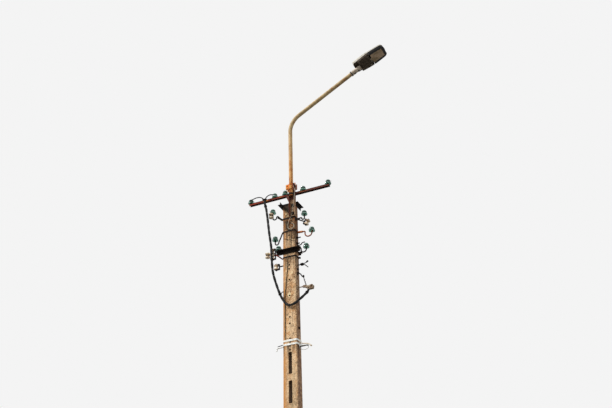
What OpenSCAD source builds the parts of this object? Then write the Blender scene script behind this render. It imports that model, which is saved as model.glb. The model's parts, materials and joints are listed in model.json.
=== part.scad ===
// Slotted concrete utility pole with a tube lamp arm, a steel crossarm,
// glass insulators on pins and hooks, and a hanging cable loop.
// Millimetres. Z is up, X runs along the crossarm, the wide slotted face looks along -Y.
// The origin is the centre of the pole where it stands on its footing.

/* [Pole] */
// Height of the concrete above the ground
pole_h = 8500; // [8200:100:9500]
// Width of the slotted face at the ground
base_w = 275; // [250:1:300]
// Width of the slotted face at the top
top_w = 188; // [172:1:200]
// Depth of the side face at the ground
base_d = 201; // [180:1:230]
// Depth of the side face at the top
top_d = 112; // [100:1:130]
// Leg of the chamfer on the four long corners
chamfer = 12; // [6:1:16]
// Diameter of the bolt holes in the slotted face
hole_d = 26; // [18:1:28]

/* [Slots] */
// Width of each through slot
slot_w = 52; // [40:1:60]
// Length of each through slot
slot_l = 308; // [260:2:330]
// Distance from one slot to the next
slot_pitch = 400; // [380:5:420]
// Number of slots
slot_count = 14; // [8:1:14]
// Distance from the pole's top down to the highest slot
slot_drop = 2300; // [2300:20:2400]
// Corner radius of a slot
slot_r = 12; // [6:1:18]

/* [Crossarm] */
// Length of the crossarm
arm_l = 1292; // [1280:4:1400]
// Width of the crossarm's top
arm_web = 42; // [40:1:60]
// Height of the crossarm's flanges
arm_flange = 36; // [32:1:60]
// Thickness of the crossarm's steel
arm_t = 5; // [4:0.5:5]
// Height of the crossarm's top above the pole's top
arm_rise = 162; // [150:1:170]
// Distance of the inner pins from the crossarm's middle
pin_inner = 230; // [200:2:260]
// Distance of the outer pins from the crossarm's middle
pin_outer = 626; // [590:2:626]
// Distance of the fifth pin from the crossarm's middle
pin_middle = 60; // [56:1:66]

/* [Head post] */
// Inner width of the post's channel
post_in = 82; // [80:1:86]
// Offset of the post's middle from the lamp tube
post_shift = 8; // [6:1:9]
// Thickness of the post's steel
post_t = 5; // [4:0.5:7]
// Depth of the post's flanges
post_flange = 45; // [38:1:50]
// Length of the post below the pole's top
post_drop = 232; // [226:1:235]

/* [Lamp arm] */
// Offset of the lamp tube from the pole's middle
tube_x = 62; // [56:1:66]
// Outer diameter of the lamp tube
tube_d = 60.3; // [57:0.1:62]
// Wall of the lamp tube
tube_wall = 3.6; // [2.5:0.1:5]
// Height of the tube's foot above the pole's top
tube_rise = 90; // [80:1:95]
// Height of the bend's start above the pole's top
bend_rise = 1227; // [1100:1:1400]
// Radius of the bend's centre line
bend_r = 300; // [250:5:400]
// Slope of the straight arm above the horizontal
arm_slope = 28.3; // [20:0.1:32]
// Length of the straight arm past the bend
reach_l = 1055; // [850:5:1200]

/* [Street lamp] */
// Length of the lamp's housing
lamp_l = 530; // [500:5:580]
// Greatest width of the lamp's housing
lamp_w = 272; // [260:4:300]
// Height of the lamp's canopy at its rear
lamp_h = 64; // [62:1:80]
// Wall of the canopy
lamp_wall = 3; // [2:0.5:4]
// Angle by which the lamp is tipped down from the arm
lamp_tip = 5; // [3:0.5:6]
// Share of the length at which the gear cover ends
gear_share = 0.52; // [0.48:0.01:0.56]
// Depth of the gear cover below the rim
gear_h = 34; // [30:1:38]
// Depth of the clear bowl
bowl_depth = 32; // [28:1:40]

/* [Insulators] */
// Height of a glass insulator
glass_h = 66; // [62:1:76]
// Skirt diameter of a glass insulator
glass_d = 90; // [84:1:98]
// Diameter of the steel that carries an insulator
pin_d = 20; // [16:1:22]
// Height of a porcelain spool
spool_h = 74; // [60:1:80]
// Diameter of a porcelain spool
spool_d = 70; // [60:1:80]

/* [Bands] */
// Height of the dark bands
band_h = 20; // [14:1:26]
// Thickness of all bands
band_t = 4; // [3:0.5:5]
// Height of the white bands
white_h = 26; // [20:1:32]
// Leg of the clamp bars' angle steel
bar_leg = 60; // [50:1:65]
// Length of the front clamp bar
front_bar_l = 370; // [360:2:390]
// Length of the back clamp bar
back_bar_l = 260; // [256:2:300]

/* [Cable] */
// Diameter of the bundled cable
cable_d = 36; // [28:1:38]
// Diameter of one core
core_d = 15; // [12:1:17]
// Diameter of the lamp's supply cable
supply_d = 14; // [10:1:16]
// Diameter of the earth wire on the pole's face
earth_d = 12; // [8:1:14]

/* [Hidden] */
$fn = 32;
far = 20;            // how far a cutting tool runs past the face that it cuts
seat = 0.3;          // gap between a piece and what it lies on
front = -1;
back = 1;
left = -1;
right = 1;

// Size of the tapered pole at a height above the ground
function pole_w(z) = base_w + (top_w - base_w) * z / pole_h;
function pole_d(z) = base_d + (top_d - base_d) * z / pole_h;

// Heights counted down from the pole's top
upper_band_z = pole_h - 246;
middle_band_z = pole_h - 462;
clamp_bar_z = pole_h - 795;
lower_band_z = pole_h - 874;
strain_z = pole_h - 1355;
white_z = [pole_h - 2138, pole_h - 2192];
slot_top = pole_h - slot_drop;
hole_single = [pole_h - 530];
hole_far_pair = [pole_h - 1236, pole_h - 1477];
hole_near_pair = [pole_h - 1005, pole_h - 1068];
hole_wide_pair = [pole_h - 1797, pole_h - 1892];
hole_row = [for (i = [0:3]) pole_h - 2108 - 55 * i];
holes = concat(hole_single, hole_far_pair, hole_near_pair, hole_wide_pair, hole_row);

// The post stands against the slotted face and the tube lies in its upper part
post_x = tube_x + post_shift;
post_bottom = pole_h - post_drop;
post_half = post_in / 2 + post_t;
post_back_y = -pole_d(post_bottom) / 2 - seat;
post_toe_y = post_back_y - post_flange;
tube_y = post_back_y - post_t - seat - tube_d / 2;
tube_foot_z = pole_h + tube_rise;

// The collar that closes the head of the post
collar_w = 155;
collar_h = 90;
collar_t = 8;
collar_z = pole_h + 197;
post_top = collar_z + collar_h;

// The crossarm lies behind the post, over the pole's head
arm_top_z = pole_h + arm_rise;
arm_y = post_back_y + seat + arm_web / 2;
pin_offsets = [-pin_outer, -pin_inner, pin_inner, pin_outer, -pin_middle];

// Insulator bore and the thread that fills it
bore_r = 13;
bore_h = glass_h - 18;
thread_r = bore_r - 0.4;
glass_lift = 8;      // skirt of an insulator above the shoulder that it stands on
shoulder_h = 10;

// A body of the given plan, tapered in two directions, made from two flat profiles
module tapered_block(h, w0, w1, d0, d1) {
    intersection() {
        rotate([90, 0, 0])
            linear_extrude(height = 2 * d0, center = true)
                polygon([[-w0 / 2, 0], [w0 / 2, 0], [w1 / 2, h], [-w1 / 2, h]]);
        rotate([90, 0, 90])
            linear_extrude(height = 2 * w0, center = true)
                polygon([[-d0 / 2, 0], [d0 / 2, 0], [d1 / 2, h], [-d1 / 2, h]]);
    }
}

// The wedge outside one chamfered long corner
module corner_cut(sx, sy) {
    q0 = (base_w + base_d) / 2 / sqrt(2) - chamfer / sqrt(2);
    q1 = (top_w + top_d) / 2 / sqrt(2) - chamfer / sqrt(2);
    // the same plane carried past both ends of the pole
    k = (q1 - q0) / pole_h;
    turn = atan2(sy, sx);
    rotate([0, 0, turn])
        rotate([90, 0, 0])
            linear_extrude(height = 8 * chamfer, center = true)
                polygon([
                    [q0 - k * far, -far], [q0 + 4 * chamfer, -far],
                    [q0 + 4 * chamfer, pole_h + far], [q1 + k * far, pole_h + far]
                ]);
}

// A slot with rounded corners through the slotted face
module slot_cut(z_top) {
    depth = base_d + 2 * far;
    translate([0, 0, z_top - slot_l / 2]) {
        cube([slot_w - 2 * slot_r, depth, slot_l], center = true);
        cube([slot_w, depth, slot_l - 2 * slot_r], center = true);
        for (sx = [-1, 1], sz = [-1, 1])
            translate([sx * (slot_w / 2 - slot_r), 0, sz * (slot_l / 2 - slot_r)])
                rotate([90, 0, 0])
                    cylinder(h = depth, r = slot_r, center = true);
    }
}

module hole_cut(z) {
    translate([0, 0, z])
        rotate([90, 0, 0])
            cylinder(h = base_d + 2 * far, d = hole_d, center = true);
}

module concrete_pole() {
    color([0.66, 0.54, 0.40])
        difference() {
            tapered_block(pole_h, base_w, top_w, base_d, top_d);
            for (sx = [-1, 1], sy = [-1, 1]) corner_cut(sx, sy);
            for (i = [0:slot_count - 1]) slot_cut(slot_top - i * slot_pitch);
            for (z = holes) hole_cut(z);
        }
}

// A channel laid with its flanges down, its top at z = 0, along X
module crossarm() {
    color([0.42, 0.16, 0.12])
        translate([0, arm_y, arm_top_z])
            difference() {
                translate([-arm_l / 2, -arm_web / 2, -arm_flange])
                    cube([arm_l, arm_web, arm_flange]);
                translate([-arm_l / 2 - far, -arm_web / 2 + arm_t, -arm_flange - arm_t])
                    cube([arm_l + 2 * far, arm_web - 2 * arm_t, arm_flange]);
                for (x = pin_offsets)
                    translate([x, 0, -far])
                        cylinder(h = 2 * far, d = pin_d + 2 * seat);
            }
}

// The upright channel with its flanges towards the front
module head_post() {
    h = post_top - post_bottom;
    color([0.40, 0.17, 0.12])
        translate([post_x, post_back_y, post_bottom])
            difference() {
                translate([-post_half, -post_flange, 0]) cube([2 * post_half, post_flange, h]);
                translate([-post_in / 2, -post_flange - far, -far])
                    cube([post_in, post_flange + far - post_t, h + 2 * far]);
            }
}

gusset_t = 6;
gusset_reach = 60;    // how far it runs past the post under the crossarm
gusset_foot = 16;     // how far it runs past the post on the pole's head

// A plate behind the post that fills the corner between the pole's head and the crossarm
module post_gusset() {
    low = pole_h + seat;
    high = arm_top_z - arm_flange - seat;
    color([0.36, 0.15, 0.11])
        translate([post_x, post_back_y + seat + gusset_t, 0])
            rotate([90, 0, 0])
                linear_extrude(height = gusset_t)
                    polygon([[-post_half - gusset_foot, low], [post_half, low], [post_half, high],
                             [-post_half - gusset_reach, high], [-post_half - gusset_reach, high - gusset_foot]]);
}

clamp_h = 28;
clamp_strap = 5;
clamp_ear = 14;
clamp_rise = 14;      // the strap above the tube's foot
pad_w = 46;           // square pads that bolt the post to the concrete
pad_t = 6;
pad_z = [post_bottom + 44, pole_h - 56];
pad_nut_h = 13;
pad_nut_d = 30;

// A strap round the tube whose ears lie on the post's flanges
module toe_strap(z, h, ear_l, t) {
    r = tube_d / 2 + seat;
    ear_y = post_toe_y - seat;
    translate([0, 0, z])
        difference() {
            union() {
                translate([tube_x, tube_y, 0]) cylinder(h = h, r = r + t);
                translate([ear_l[0], ear_y - t, 0]) cube([ear_l[1] - ear_l[0], t, h]);
            }
            translate([tube_x, tube_y, -far]) cylinder(h = h + 2 * far, r = r);
            translate([ear_l[0] - far, ear_y, -far]) cube([ear_l[1] - ear_l[0] + 2 * far, 3 * r, h + 2 * far]);
        }
}

// The strap at the tube's foot, and the bolted pads inside the post
module post_clamps() {
    ear_l = post_half + clamp_ear;
    pad_y = post_back_y - post_t - seat;
    color([0.34, 0.22, 0.15]) {
        toe_strap(tube_foot_z + clamp_rise, clamp_h, [post_x - ear_l, post_x + ear_l], clamp_strap);
        for (z = pad_z)
            translate([post_x, pad_y, z]) {
                translate([-pad_w / 2, -pad_t, -pad_w / 2]) cube([pad_w, pad_t, pad_w]);
                translate([0, -pad_t + 1, 0])
                    rotate([90, 0, 0]) cylinder(h = pad_nut_h + 1, d = pad_nut_d, $fn = 6);
                translate([0, -pad_t - pad_nut_h + 1, 0]) rotate([90, 0, 0]) cylinder(h = 9, d = 18);
            }
    }
}

side_bar_leg = 40;
side_bar_t = 5;
side_bar_z = pole_h - side_bar_leg - 2;
side_bar_back = [205, 150];     // where the left and the right bar end
right_leg = 50;
tie_h = 24;

// Angle steel along the pole's side, its upright leg on the concrete
module side_bar_left() {
    start = -140;
    color([0.14, 0.11, 0.10])
        translate([-pole_w(side_bar_z) / 2 - seat, start, side_bar_z]) {
            translate([-side_bar_t, 0, 0]) cube([side_bar_t, side_bar_back[0] - start, side_bar_leg]);
            translate([-side_bar_leg, 0, 0]) cube([side_bar_leg, side_bar_back[0] - start, side_bar_t]);
        }
}

// The other bar is turned over, its flat leg level with the pole's head
module side_bar_right() {
    start = -pole_d(side_bar_z) / 2 + 6;
    l = side_bar_back[1] - start;
    color([0.14, 0.11, 0.10])
        translate([pole_w(pole_h - right_leg) / 2 + seat, start, pole_h - right_leg]) {
            cube([side_bar_t, l, right_leg]);
            translate([0, 0, right_leg - side_bar_t]) cube([right_leg, l, side_bar_t]);
        }
}

// Flat bars across the pole's faces that tie the side bars and the post
module head_ties() {
    y = pole_d(side_bar_z) / 2 + seat;
    end = pole_w(side_bar_z) / 2;
    front_l = end + post_x - post_half - seat;
    color([0.14, 0.11, 0.10])
        translate([-end, 0, pole_h - 2 - tie_h]) {
            translate([0, -y - side_bar_t, 0]) cube([front_l, side_bar_t, tie_h]);
            translate([0, y, 0]) cube([2 * end, side_bar_t, tie_h]);
        }
}

nut_h = 16;
nut_d = 34;
shoulder_d = 34;
pin_tail = 8;

// A straight pin through a plate whose top is at z = 0, with a shoulder above and a nut below
module straight_pin(plate) {
    translate([0, 0, seat]) cylinder(h = shoulder_h - seat, d = shoulder_d);
    translate([0, 0, -plate - nut_h - pin_tail]) cylinder(h = plate + nut_h + pin_tail + 1, d = pin_d);
    translate([0, 0, shoulder_h - 1]) cylinder(h = glass_lift + bore_h - shoulder_h + 0.5, r = thread_r);
    translate([0, 0, -plate - nut_h - seat]) cylinder(h = nut_h, d = nut_d, $fn = 6);
}

module line_pins() {
    color([0.28, 0.20, 0.17])
        for (x = pin_offsets) translate([x, arm_y, arm_top_z]) straight_pin(arm_t);
}

// Squat bell of glass with an outer and an inner skirt, a neck groove and a domed head
module glass_insulator() {
    r = glass_d / 2;
    h = glass_h;
    color([0.30, 0.52, 0.45, 0.8])
        rotate_extrude($fn = 40)
            polygon([
                [bore_r, 5], [bore_r + 6, 5], [bore_r + 8, 16], [r - 14, 16], [r - 9, 8], [r - 6, 0],
                [r - 1, 0], [r, 4], [r - 0.5, 12], [r - 4, 20], [r - 10, 26], [r - 14, h - 35],
                [r - 12, h - 30], [r - 10, h - 25], [r - 12, h - 16], [r - 17, h - 8], [r - 26, h - 2],
                [r - 36, h], [0, h], [0, bore_h], [bore_r, bore_h]
            ]);
}

module line_insulator(x) {
    translate([x, arm_y, arm_top_z + glass_lift]) glass_insulator();
}

bend_turn = 90 - arm_slope;
bend_z = pole_h + bend_rise;

// Frame whose X axis runs along the straight arm and starts at the end of the bend
module arm_end_frame() {
    translate([tube_x + bend_r * (1 - cos(bend_turn)), tube_y, bend_z + bend_r * sin(bend_turn)])
        rotate([0, -arm_slope, 0])
            children();
}

weld_w = 6;
weld_d = 2;          // how much wider the weld bead is than the tube

// The solid run of the lamp tube at a diameter: upright, bend, straight arm and the bead between them
module tube_run(d, extra, bead) {
    translate([tube_x, tube_y, tube_foot_z - extra])
        cylinder(h = bend_z - tube_foot_z + extra, d = d, $fn = 48);
    translate([tube_x + bend_r, tube_y, bend_z])
        rotate([90, 0, 0])
            mirror([1, 0, 0])
                rotate_extrude(angle = bend_turn, $fn = 96)
                    translate([bend_r, 0]) circle(d = d, $fn = 48);
    arm_end_frame()
        rotate([0, 90, 0]) {
            cylinder(h = reach_l + extra, d = d, $fn = 48);
            cylinder(h = weld_w, d = d + bead, center = true, $fn = 48);
        }
}

module lamp_arm() {
    color([0.72, 0.62, 0.44])
        difference() {
            tube_run(tube_d, 0, weld_d);
            tube_run(tube_d - 2 * tube_wall, far, weld_d / 4);
        }
}

collar_bolt_d = 16;
collar_bolt_in = 15;  // from the collar's ends to its bolts

// A strap over the tube and the post's flanges, a bar behind the post, and their bolts
module arm_collar() {
    left_x = tube_x - collar_w / 2;
    right_x = tube_x + collar_w / 2;
    front_y = post_toe_y - seat - collar_t;
    back_y = post_back_y + seat;
    color([0.62, 0.34, 0.16]) {
        toe_strap(collar_z, collar_h, [left_x, right_x], collar_t);
        translate([left_x, back_y, collar_z]) cube([collar_w, collar_t, collar_h]);
        for (x = [left_x + collar_bolt_in, right_x - collar_bolt_in], z = [0.25, 0.75])
            translate([x, front_y - 12, collar_z + z * collar_h])
                rotate([-90, 0, 0]) {
                    cylinder(h = back_y + collar_t - front_y + 12, d = collar_bolt_d);
                    cylinder(h = 13, d = 26, $fn = 6);
                }
    }
}

// The lamp frame: x = 0 at the housing's rear, z = 0 at its rim, tipped down from the arm's slope
spigot_drop = 46;     // the arm's axis below the rim at the rear
sleeve_l = 180;
sleeve_in = 60;       // how far the tube reaches into the sleeve
sleeve_lap = 70;      // how far the sleeve reaches under the housing
sleeve_wall = 6;
sleeve_d = tube_d + 2 * seat + 2 * sleeve_wall;
module lamp_frame() {
    arm_end_frame()
        translate([reach_l - sleeve_in + sleeve_l - sleeve_lap, 0, spigot_drop])
            rotate([0, lamp_tip, 0])
                children();
}

// The socket that takes the tube's end and bears the housing
module lamp_sleeve() {
    color([0.78, 0.74, 0.66])
        arm_end_frame()
            translate([reach_l - sleeve_in, 0, 0])
                rotate([0, 90, 0])
                    difference() {
                        cylinder(h = sleeve_l, d = sleeve_d);
                        translate([0, 0, -far]) cylinder(h = sleeve_in + far + 1, d = tube_d + 2 * seat);
                        translate([0, 0, sleeve_in]) cylinder(h = sleeve_l, d = tube_d - 16);
                    }
}

// The trough that the sleeve lies in, in the lamp frame
module sleeve_cut() {
    rotate([0, -lamp_tip, 0])
        translate([-far, 0, -spigot_drop])
            rotate([0, 90, 0]) cylinder(h = far + sleeve_lap + seat, d = sleeve_d + 2 * seat);
}

// Plan and height of the housing at the share s of its length
rear_w = 0.80;
front_w = 0.16;       // share of the width that is lost towards the front
front_h = 0.55;       // share of the height that stays over the bowl
function nose(s) = s > 0.86 ? pow(max(0, 1 - pow((s - 0.86) / 0.14, 3)), 1 / 3) : 1;
function tail(s) = s < 0.06 ? pow(max(0, 1 - pow((0.06 - s) / 0.06, 3)), 1 / 3) : 1;
function swell(s) = s < 0.5 ? rear_w + (1 - rear_w) * (0.5 - 0.5 * cos(360 * s)) : 1 - front_w * pow((s - 0.5) / 0.5, 1.5);
function lamp_half(s) = lamp_w / 2 * swell(s) * (0.08 + 0.92 * nose(s)) * (0.5 + 0.5 * tail(s));
function fall_off(s) = s < 0.15 ? 1 : s > 0.65 ? front_h : 1 - (1 - front_h) * (0.5 - 0.5 * cos(360 * (s - 0.15)));
function lamp_rise(s) = lamp_h * fall_off(s) * (0.22 + 0.78 * nose(s)) * (0.9 + 0.1 * tail(s));

stations = [0, 0.02, 0.06, 0.14, 0.24, 0.34, 0.44, 0.54, 0.64, 0.74, 0.84, 0.89, 0.93, 0.96, 0.985, 1];
ribs = 14;
function arch(a) = [sign(cos(a)) * pow(abs(cos(a)), 0.5), pow(abs(sin(a)), 0.5)];
// One closed section of the housing, with its two lowest points at the given height
function canopy_ring(s, inset, low) =
    let (w = lamp_half(s) - inset, h = lamp_rise(s) - inset, x = inset + s * (lamp_l - 2 * inset))
    concat(
        [[x, w, low]],
        [for (i = [1:ribs - 1]) let (p = arch(180 * i / ribs)) [x, w * p[0], h * p[1]]],
        [[x, -w, low]]
    );

// A closed body through a list of rings that all have the same number of points
module loft(rings) {
    n = len(rings);
    m = len(rings[0]);
    polyhedron(
        points = [for (r = rings) each r],
        faces = concat(
            [[for (k = [0:m - 1]) k]],
            [[for (k = [0:m - 1]) n * m - 1 - k]],
            [for (i = [0:n - 2], k = [0:m - 1])
                [i * m + k, (i + 1) * m + k, (i + 1) * m + (k + 1) % m, i * m + (k + 1) % m]]
        ),
        convexity = 4
    );
}

// A shell between an outer and an inner lofted body, open at the rim
module canopy_shell() {
    difference() {
        loft([for (s = stations) canopy_ring(s, 0, 0)]);
        loft([for (s = stations) canopy_ring(s, lamp_wall, -far)]);
    }
}

module lamp_canopy() {
    color([0.74, 0.70, 0.62])
        lamp_frame() canopy_shell();
}

// Plan outline of the rim between two shares of the length, pulled in by an inset
function rim_outline(s0, s1, inset) = concat(
    [for (i = [0:12]) let (s = s0 + (s1 - s0) * i / 12) [s * lamp_l, lamp_half(s) - inset]],
    [for (i = [0:12]) let (s = s1 - (s1 - s0) * i / 12) [s * lamp_l, -lamp_half(s) + inset]]
);
gear_wall = 4;
gear_top = -seat;
hinge_x = lamp_l * gear_share;
hinge_z = -gear_h;
hinge_pin_d = 6;
hinge_play = 0.05;
knuckle_d = 14;
knuckle_w = 50;
ear_w = 6;
ear_gap = 1;
hinge_l = knuckle_w + 2 * (ear_gap + ear_w);
gear_end = hinge_x - 9;
bowl_start = hinge_x + 14;
bowl_gap = 5.5;
bowl_wall = 4;
bulkhead_h = 24;
reflector_end = 0.90;
holder_d = 34;
holder_l = 26;
holder_z = 0;
holder_clear = 6;     // between the holder and the bowl's notch
bulb_cap_d = 26;

gear_start = 76;      // the tray begins in front of the sleeve
gear_rib = 3;
gear_ribs = 8;

// The gear cover: a plate under the housing's rear, a ribbed tray, a bulkhead with the lamp holder, hinge ears
module gear_cover() {
    s0 = gear_start / lamp_l;
    s1 = gear_end / lamp_l;
    inset = gear_wall / lamp_l;
    bulkhead_w = 1.5 * lamp_half(s1);
    pitch = (gear_end - gear_start) / (gear_ribs + 1);
    color([0.22, 0.19, 0.15])
        lamp_frame()
            difference() {
                union() {
                    translate([0, 0, gear_top - gear_wall])
                        linear_extrude(height = gear_wall) polygon(rim_outline(0.02, s0 + inset, 1));
                    difference() {
                        translate([0, 0, gear_top - gear_h])
                            linear_extrude(height = gear_h) polygon(rim_outline(s0, s1, 1));
                        translate([0, 0, gear_top - gear_h + gear_wall])
                            linear_extrude(height = 2 * gear_h)
                                polygon(rim_outline(s0 + inset, s1 - inset, 1 + gear_wall));
                    }
                    for (i = [1:gear_ribs])
                        translate([gear_start + i * pitch, 0, gear_top - gear_h - gear_rib / 2 + 0.5])
                            cube([gear_rib, 1.5 * lamp_half(s0), gear_rib + 1], center = true);
                    translate([gear_end - gear_wall, -bulkhead_w / 2, gear_top - gear_h])
                        cube([gear_wall, bulkhead_w, gear_h + bulkhead_h]);
                    translate([gear_end - 1, 0, holder_z])
                        rotate([0, 90, 0]) cylinder(h = holder_l + 1, d = holder_d);
                    for (s = [left, right])
                        translate([0, s * (knuckle_w / 2 + ear_gap + ear_w / 2), 0]) {
                            translate([hinge_x, 0, hinge_z])
                                rotate([90, 0, 0]) cylinder(h = ear_w, d = knuckle_d, center = true);
                            translate([gear_end - 1, -ear_w / 2, hinge_z])
                                cube([hinge_x - gear_end + 1, ear_w, knuckle_d / 2]);
                        }
                }
                translate([hinge_x, 0, hinge_z])
                    rotate([90, 0, 0])
                        cylinder(h = 2 * hinge_l, d = hinge_pin_d + 2 * hinge_play, center = true);
                translate([gear_end + 8, 0, holder_z])
                    rotate([0, 90, 0]) cylinder(h = holder_l + far, d = bulb_cap_d + 2 * seat);
                sleeve_cut();
            }
}

// A tray with a pressed rim, held against the bulkhead
module lamp_reflector() {
    s0 = (gear_end + seat) / lamp_l;
    lip = 3 / lamp_l;
    side = lamp_wall + 17;
    h = 21;
    color([0.80, 0.80, 0.78])
        lamp_frame()
            difference() {
                translate([0, 0, 2])
                    linear_extrude(height = h) polygon(rim_outline(s0, reflector_end, side));
                translate([0, 0, -1])
                    linear_extrude(height = h) polygon(rim_outline(s0 + lip, reflector_end - lip, side + 3));
                translate([gear_end, 0, holder_z])
                    rotate([0, 90, 0]) cylinder(h = 8, d = holder_d + 4 * seat);
            }
}

bulb_l = 150;
bulb_d = 28;

// A cap in the holder and an oval envelope
module lamp_bulb() {
    neck = holder_l - 8;
    color([0.9, 0.9, 0.85])
        lamp_frame()
            translate([gear_end + 8 + seat, 0, holder_z])
                rotate([0, 90, 0])
                    rotate_extrude()
                        polygon(concat(
                            [[0, 0], [bulb_cap_d / 2, 0], [bulb_cap_d / 2, neck + 4]],
                            [for (a = [150:-15:0])
                                [bulb_d / 2 * sin(a), neck + (bulb_l - neck) * (1 + cos(a)) / 2]]
                        ));
}

// The clear bowl, its rear wall notched for the holder and carried by a knuckle on the hinge pin
module lamp_bowl() {
    s0 = bowl_start / lamp_l;
    s1 = 0.985;
    inset = bowl_wall / lamp_l;
    web = 6;
    color([0.45, 0.38, 0.30, 0.7])
        lamp_frame()
            difference() {
                union() {
                    translate([0, 0, -bowl_gap - bowl_depth])
                        difference() {
                            linear_extrude(height = bowl_depth) polygon(rim_outline(s0, s1, 1));
                            translate([0, 0, bowl_wall])
                                linear_extrude(height = bowl_depth)
                                    polygon(rim_outline(s0 + inset, s1 - inset, 1 + bowl_wall));
                        }
                    translate([hinge_x, 0, hinge_z])
                        rotate([90, 0, 0]) cylinder(h = knuckle_w, d = knuckle_d, center = true);
                    translate([hinge_x, -knuckle_w / 2, hinge_z - web / 2])
                        cube([bowl_start - hinge_x + 1, knuckle_w, web]);
                }
                translate([hinge_x, 0, hinge_z])
                    rotate([90, 0, 0])
                        cylinder(h = 2 * hinge_l, d = hinge_pin_d + 2 * hinge_play, center = true);
                translate([hinge_x, -holder_d / 2 - holder_clear, holder_z - holder_d / 2 - holder_clear])
                    cube([2 * (bowl_start - hinge_x), holder_d + 2 * holder_clear, holder_d]);
            }
}

module hinge_pin() {
    color([0.5, 0.5, 0.5])
        lamp_frame()
            translate([hinge_x, 0, hinge_z])
                rotate([90, 0, 0]) {
                    cylinder(h = hinge_l + 2, d = hinge_pin_d, center = true);
                    for (s = [-1, 1])
                        translate([0, 0, s * (hinge_l / 2 + seat + 1.5)])
                            cylinder(h = 3, d = hinge_pin_d + 4, center = true);
                }
}

// Chamfered rectangle of the pole at a height, grown on every side
module pole_outline(z, grow) {
    w = pole_w(z) / 2 + grow;
    d = pole_d(z) / 2 + grow;
    c = chamfer + 0.4 * grow;
    polygon([[-w, -d + c], [-w + c, -d], [w - c, -d], [w, -d + c],
             [w, d - c], [w - c, d], [-w + c, d], [-w, d - c]]);
}

module pole_band(z, h) {
    low = z - h / 2;
    translate([0, 0, low])
        linear_extrude(height = h)
            difference() {
                pole_outline(low, seat + band_t);
                pole_outline(low, seat);
            }
}

module hook_bands() {
    color([0.12, 0.10, 0.09])
        for (z = [upper_band_z, middle_band_z, lower_band_z]) pole_band(z, band_h);
}
module white_bands() { color([0.93, 0.92, 0.88]) for (z = white_z) pole_band(z, white_h); }

bar_t = 6;
bar_y = pole_d(clamp_bar_z - bar_leg / 2) / 2 + seat;
bar_mid_y = -bar_y - bar_leg / 2;     // middle of the front bar's flat leg
bar_top = clamp_bar_z + bar_leg / 2;
clamp_bolt_x = 110;
clamp_bolt_d = 16;
bar_shift = -11;                      // middle of the front bar
bar_left = bar_shift - front_bar_l / 2;
bar_right = bar_shift + front_bar_l / 2;
rest_pin_x = bar_left + 47;           // the straight pin on the bar's left end

// Angle steel across the pole's front face, its upright leg on the concrete
module clamp_bar(l) {
    color([0.10, 0.09, 0.09])
        difference() {
            translate([-l / 2, -bar_y, clamp_bar_z - bar_leg / 2]) {
                translate([0, -bar_t, 0]) cube([l, bar_t, bar_leg]);
                translate([0, -bar_leg, bar_leg - bar_t]) cube([l, bar_leg, bar_t]);
            }
            children();
        }
}
module clamp_bolt_holes() {
    for (s = [left, right])
        translate([s * clamp_bolt_x, -bar_y, clamp_bar_z])
            rotate([90, 0, 0])
                cylinder(h = 6 * bar_t, d = clamp_bolt_d + 2 * seat, center = true);
}
module clamp_bar_front() {
    translate([bar_shift, 0, 0])
        clamp_bar(front_bar_l)
            translate([-bar_shift, 0, 0]) {
                clamp_bolt_holes();
                translate([rest_pin_x, bar_mid_y, clamp_bar_z]) cylinder(h = bar_leg, d = pin_d + 2 * seat);
            }
}
module clamp_bar_back() { mirror([0, 1, 0]) clamp_bar(back_bar_l) clamp_bolt_holes(); }

clamp_nut_h = 14;
clamp_nut_d = 28;
module clamp_bolts() {
    y = bar_y + bar_t + seat;
    color([0.2, 0.17, 0.15])
        for (s = [left, right])
            translate([s * clamp_bolt_x, 0, clamp_bar_z])
                rotate([90, 0, 0]) {
                    cylinder(h = 2 * (y + clamp_nut_h + 8), d = clamp_bolt_d, center = true);
                    for (e = [front, back])
                        translate([0, 0, e * (y + clamp_nut_h / 2)])
                            cylinder(h = clamp_nut_h, d = clamp_nut_d, center = true, $fn = 6);
                }
}

hook_r = pin_d / 2 - 1;
joint_r = hook_r + 1.5;   // forged knob where a hook leaves its palm
palm_t = 5;
palm_w = 26;
palm_over = 13;

function band_x(z) = pole_w(z - band_h / 2) / 2 + seat + band_t + seat;

// The swan-neck hooks share their places with the glass that they carry, so each one is
// a module that builds either piece: "hook" or "glass"
module upper_left(piece)
    hook_piece(piece, side = left, y = -40, start = band_x(upper_band_z), foot_z = upper_band_z,
        top_z = pole_h - 165, bend = 14, dip = 30, low_z = pole_h - 209, tip_x = upper_left_tip,
        glass_z = pole_h - 97);
module upper_right(piece)
    hook_piece(piece, side = right, y = 20, start = band_x(upper_band_z), foot_z = upper_band_z,
        top_z = pole_h - 245, bend = 12, dip = 20, low_z = pole_h - 278, tip_x = 213,
        glass_z = pole_h - 206);
module middle_left(piece)
    hook_piece(piece, side = left, y = -36, start = band_x(middle_band_z), foot_z = middle_band_z,
        top_z = pole_h - 585, bend = 14, dip = 28, low_z = pole_h - 628, tip_x = 228,
        glass_z = pole_h - 555);
module middle_right(piece)
    hook_piece(piece, side = right, y = 6, start = band_x(middle_band_z), foot_z = middle_band_z - 18,
        top_z = pole_h - 490, bend = 12, dip = 54, low_z = pole_h - 582, tip_x = 332,
        glass_z = pole_h - 514);
module lower_right(piece)
    hook_piece(piece, side = right, y = bar_mid_y, start = bar_right + seat, foot_z = bar_top - palm_over + 1,
        top_z = pole_h - 806, bend = 11, dip = 40, low_z = pole_h - 872, tip_x = 282,
        glass_z = pole_h - 811);
upper_left_tip = 262;

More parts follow.
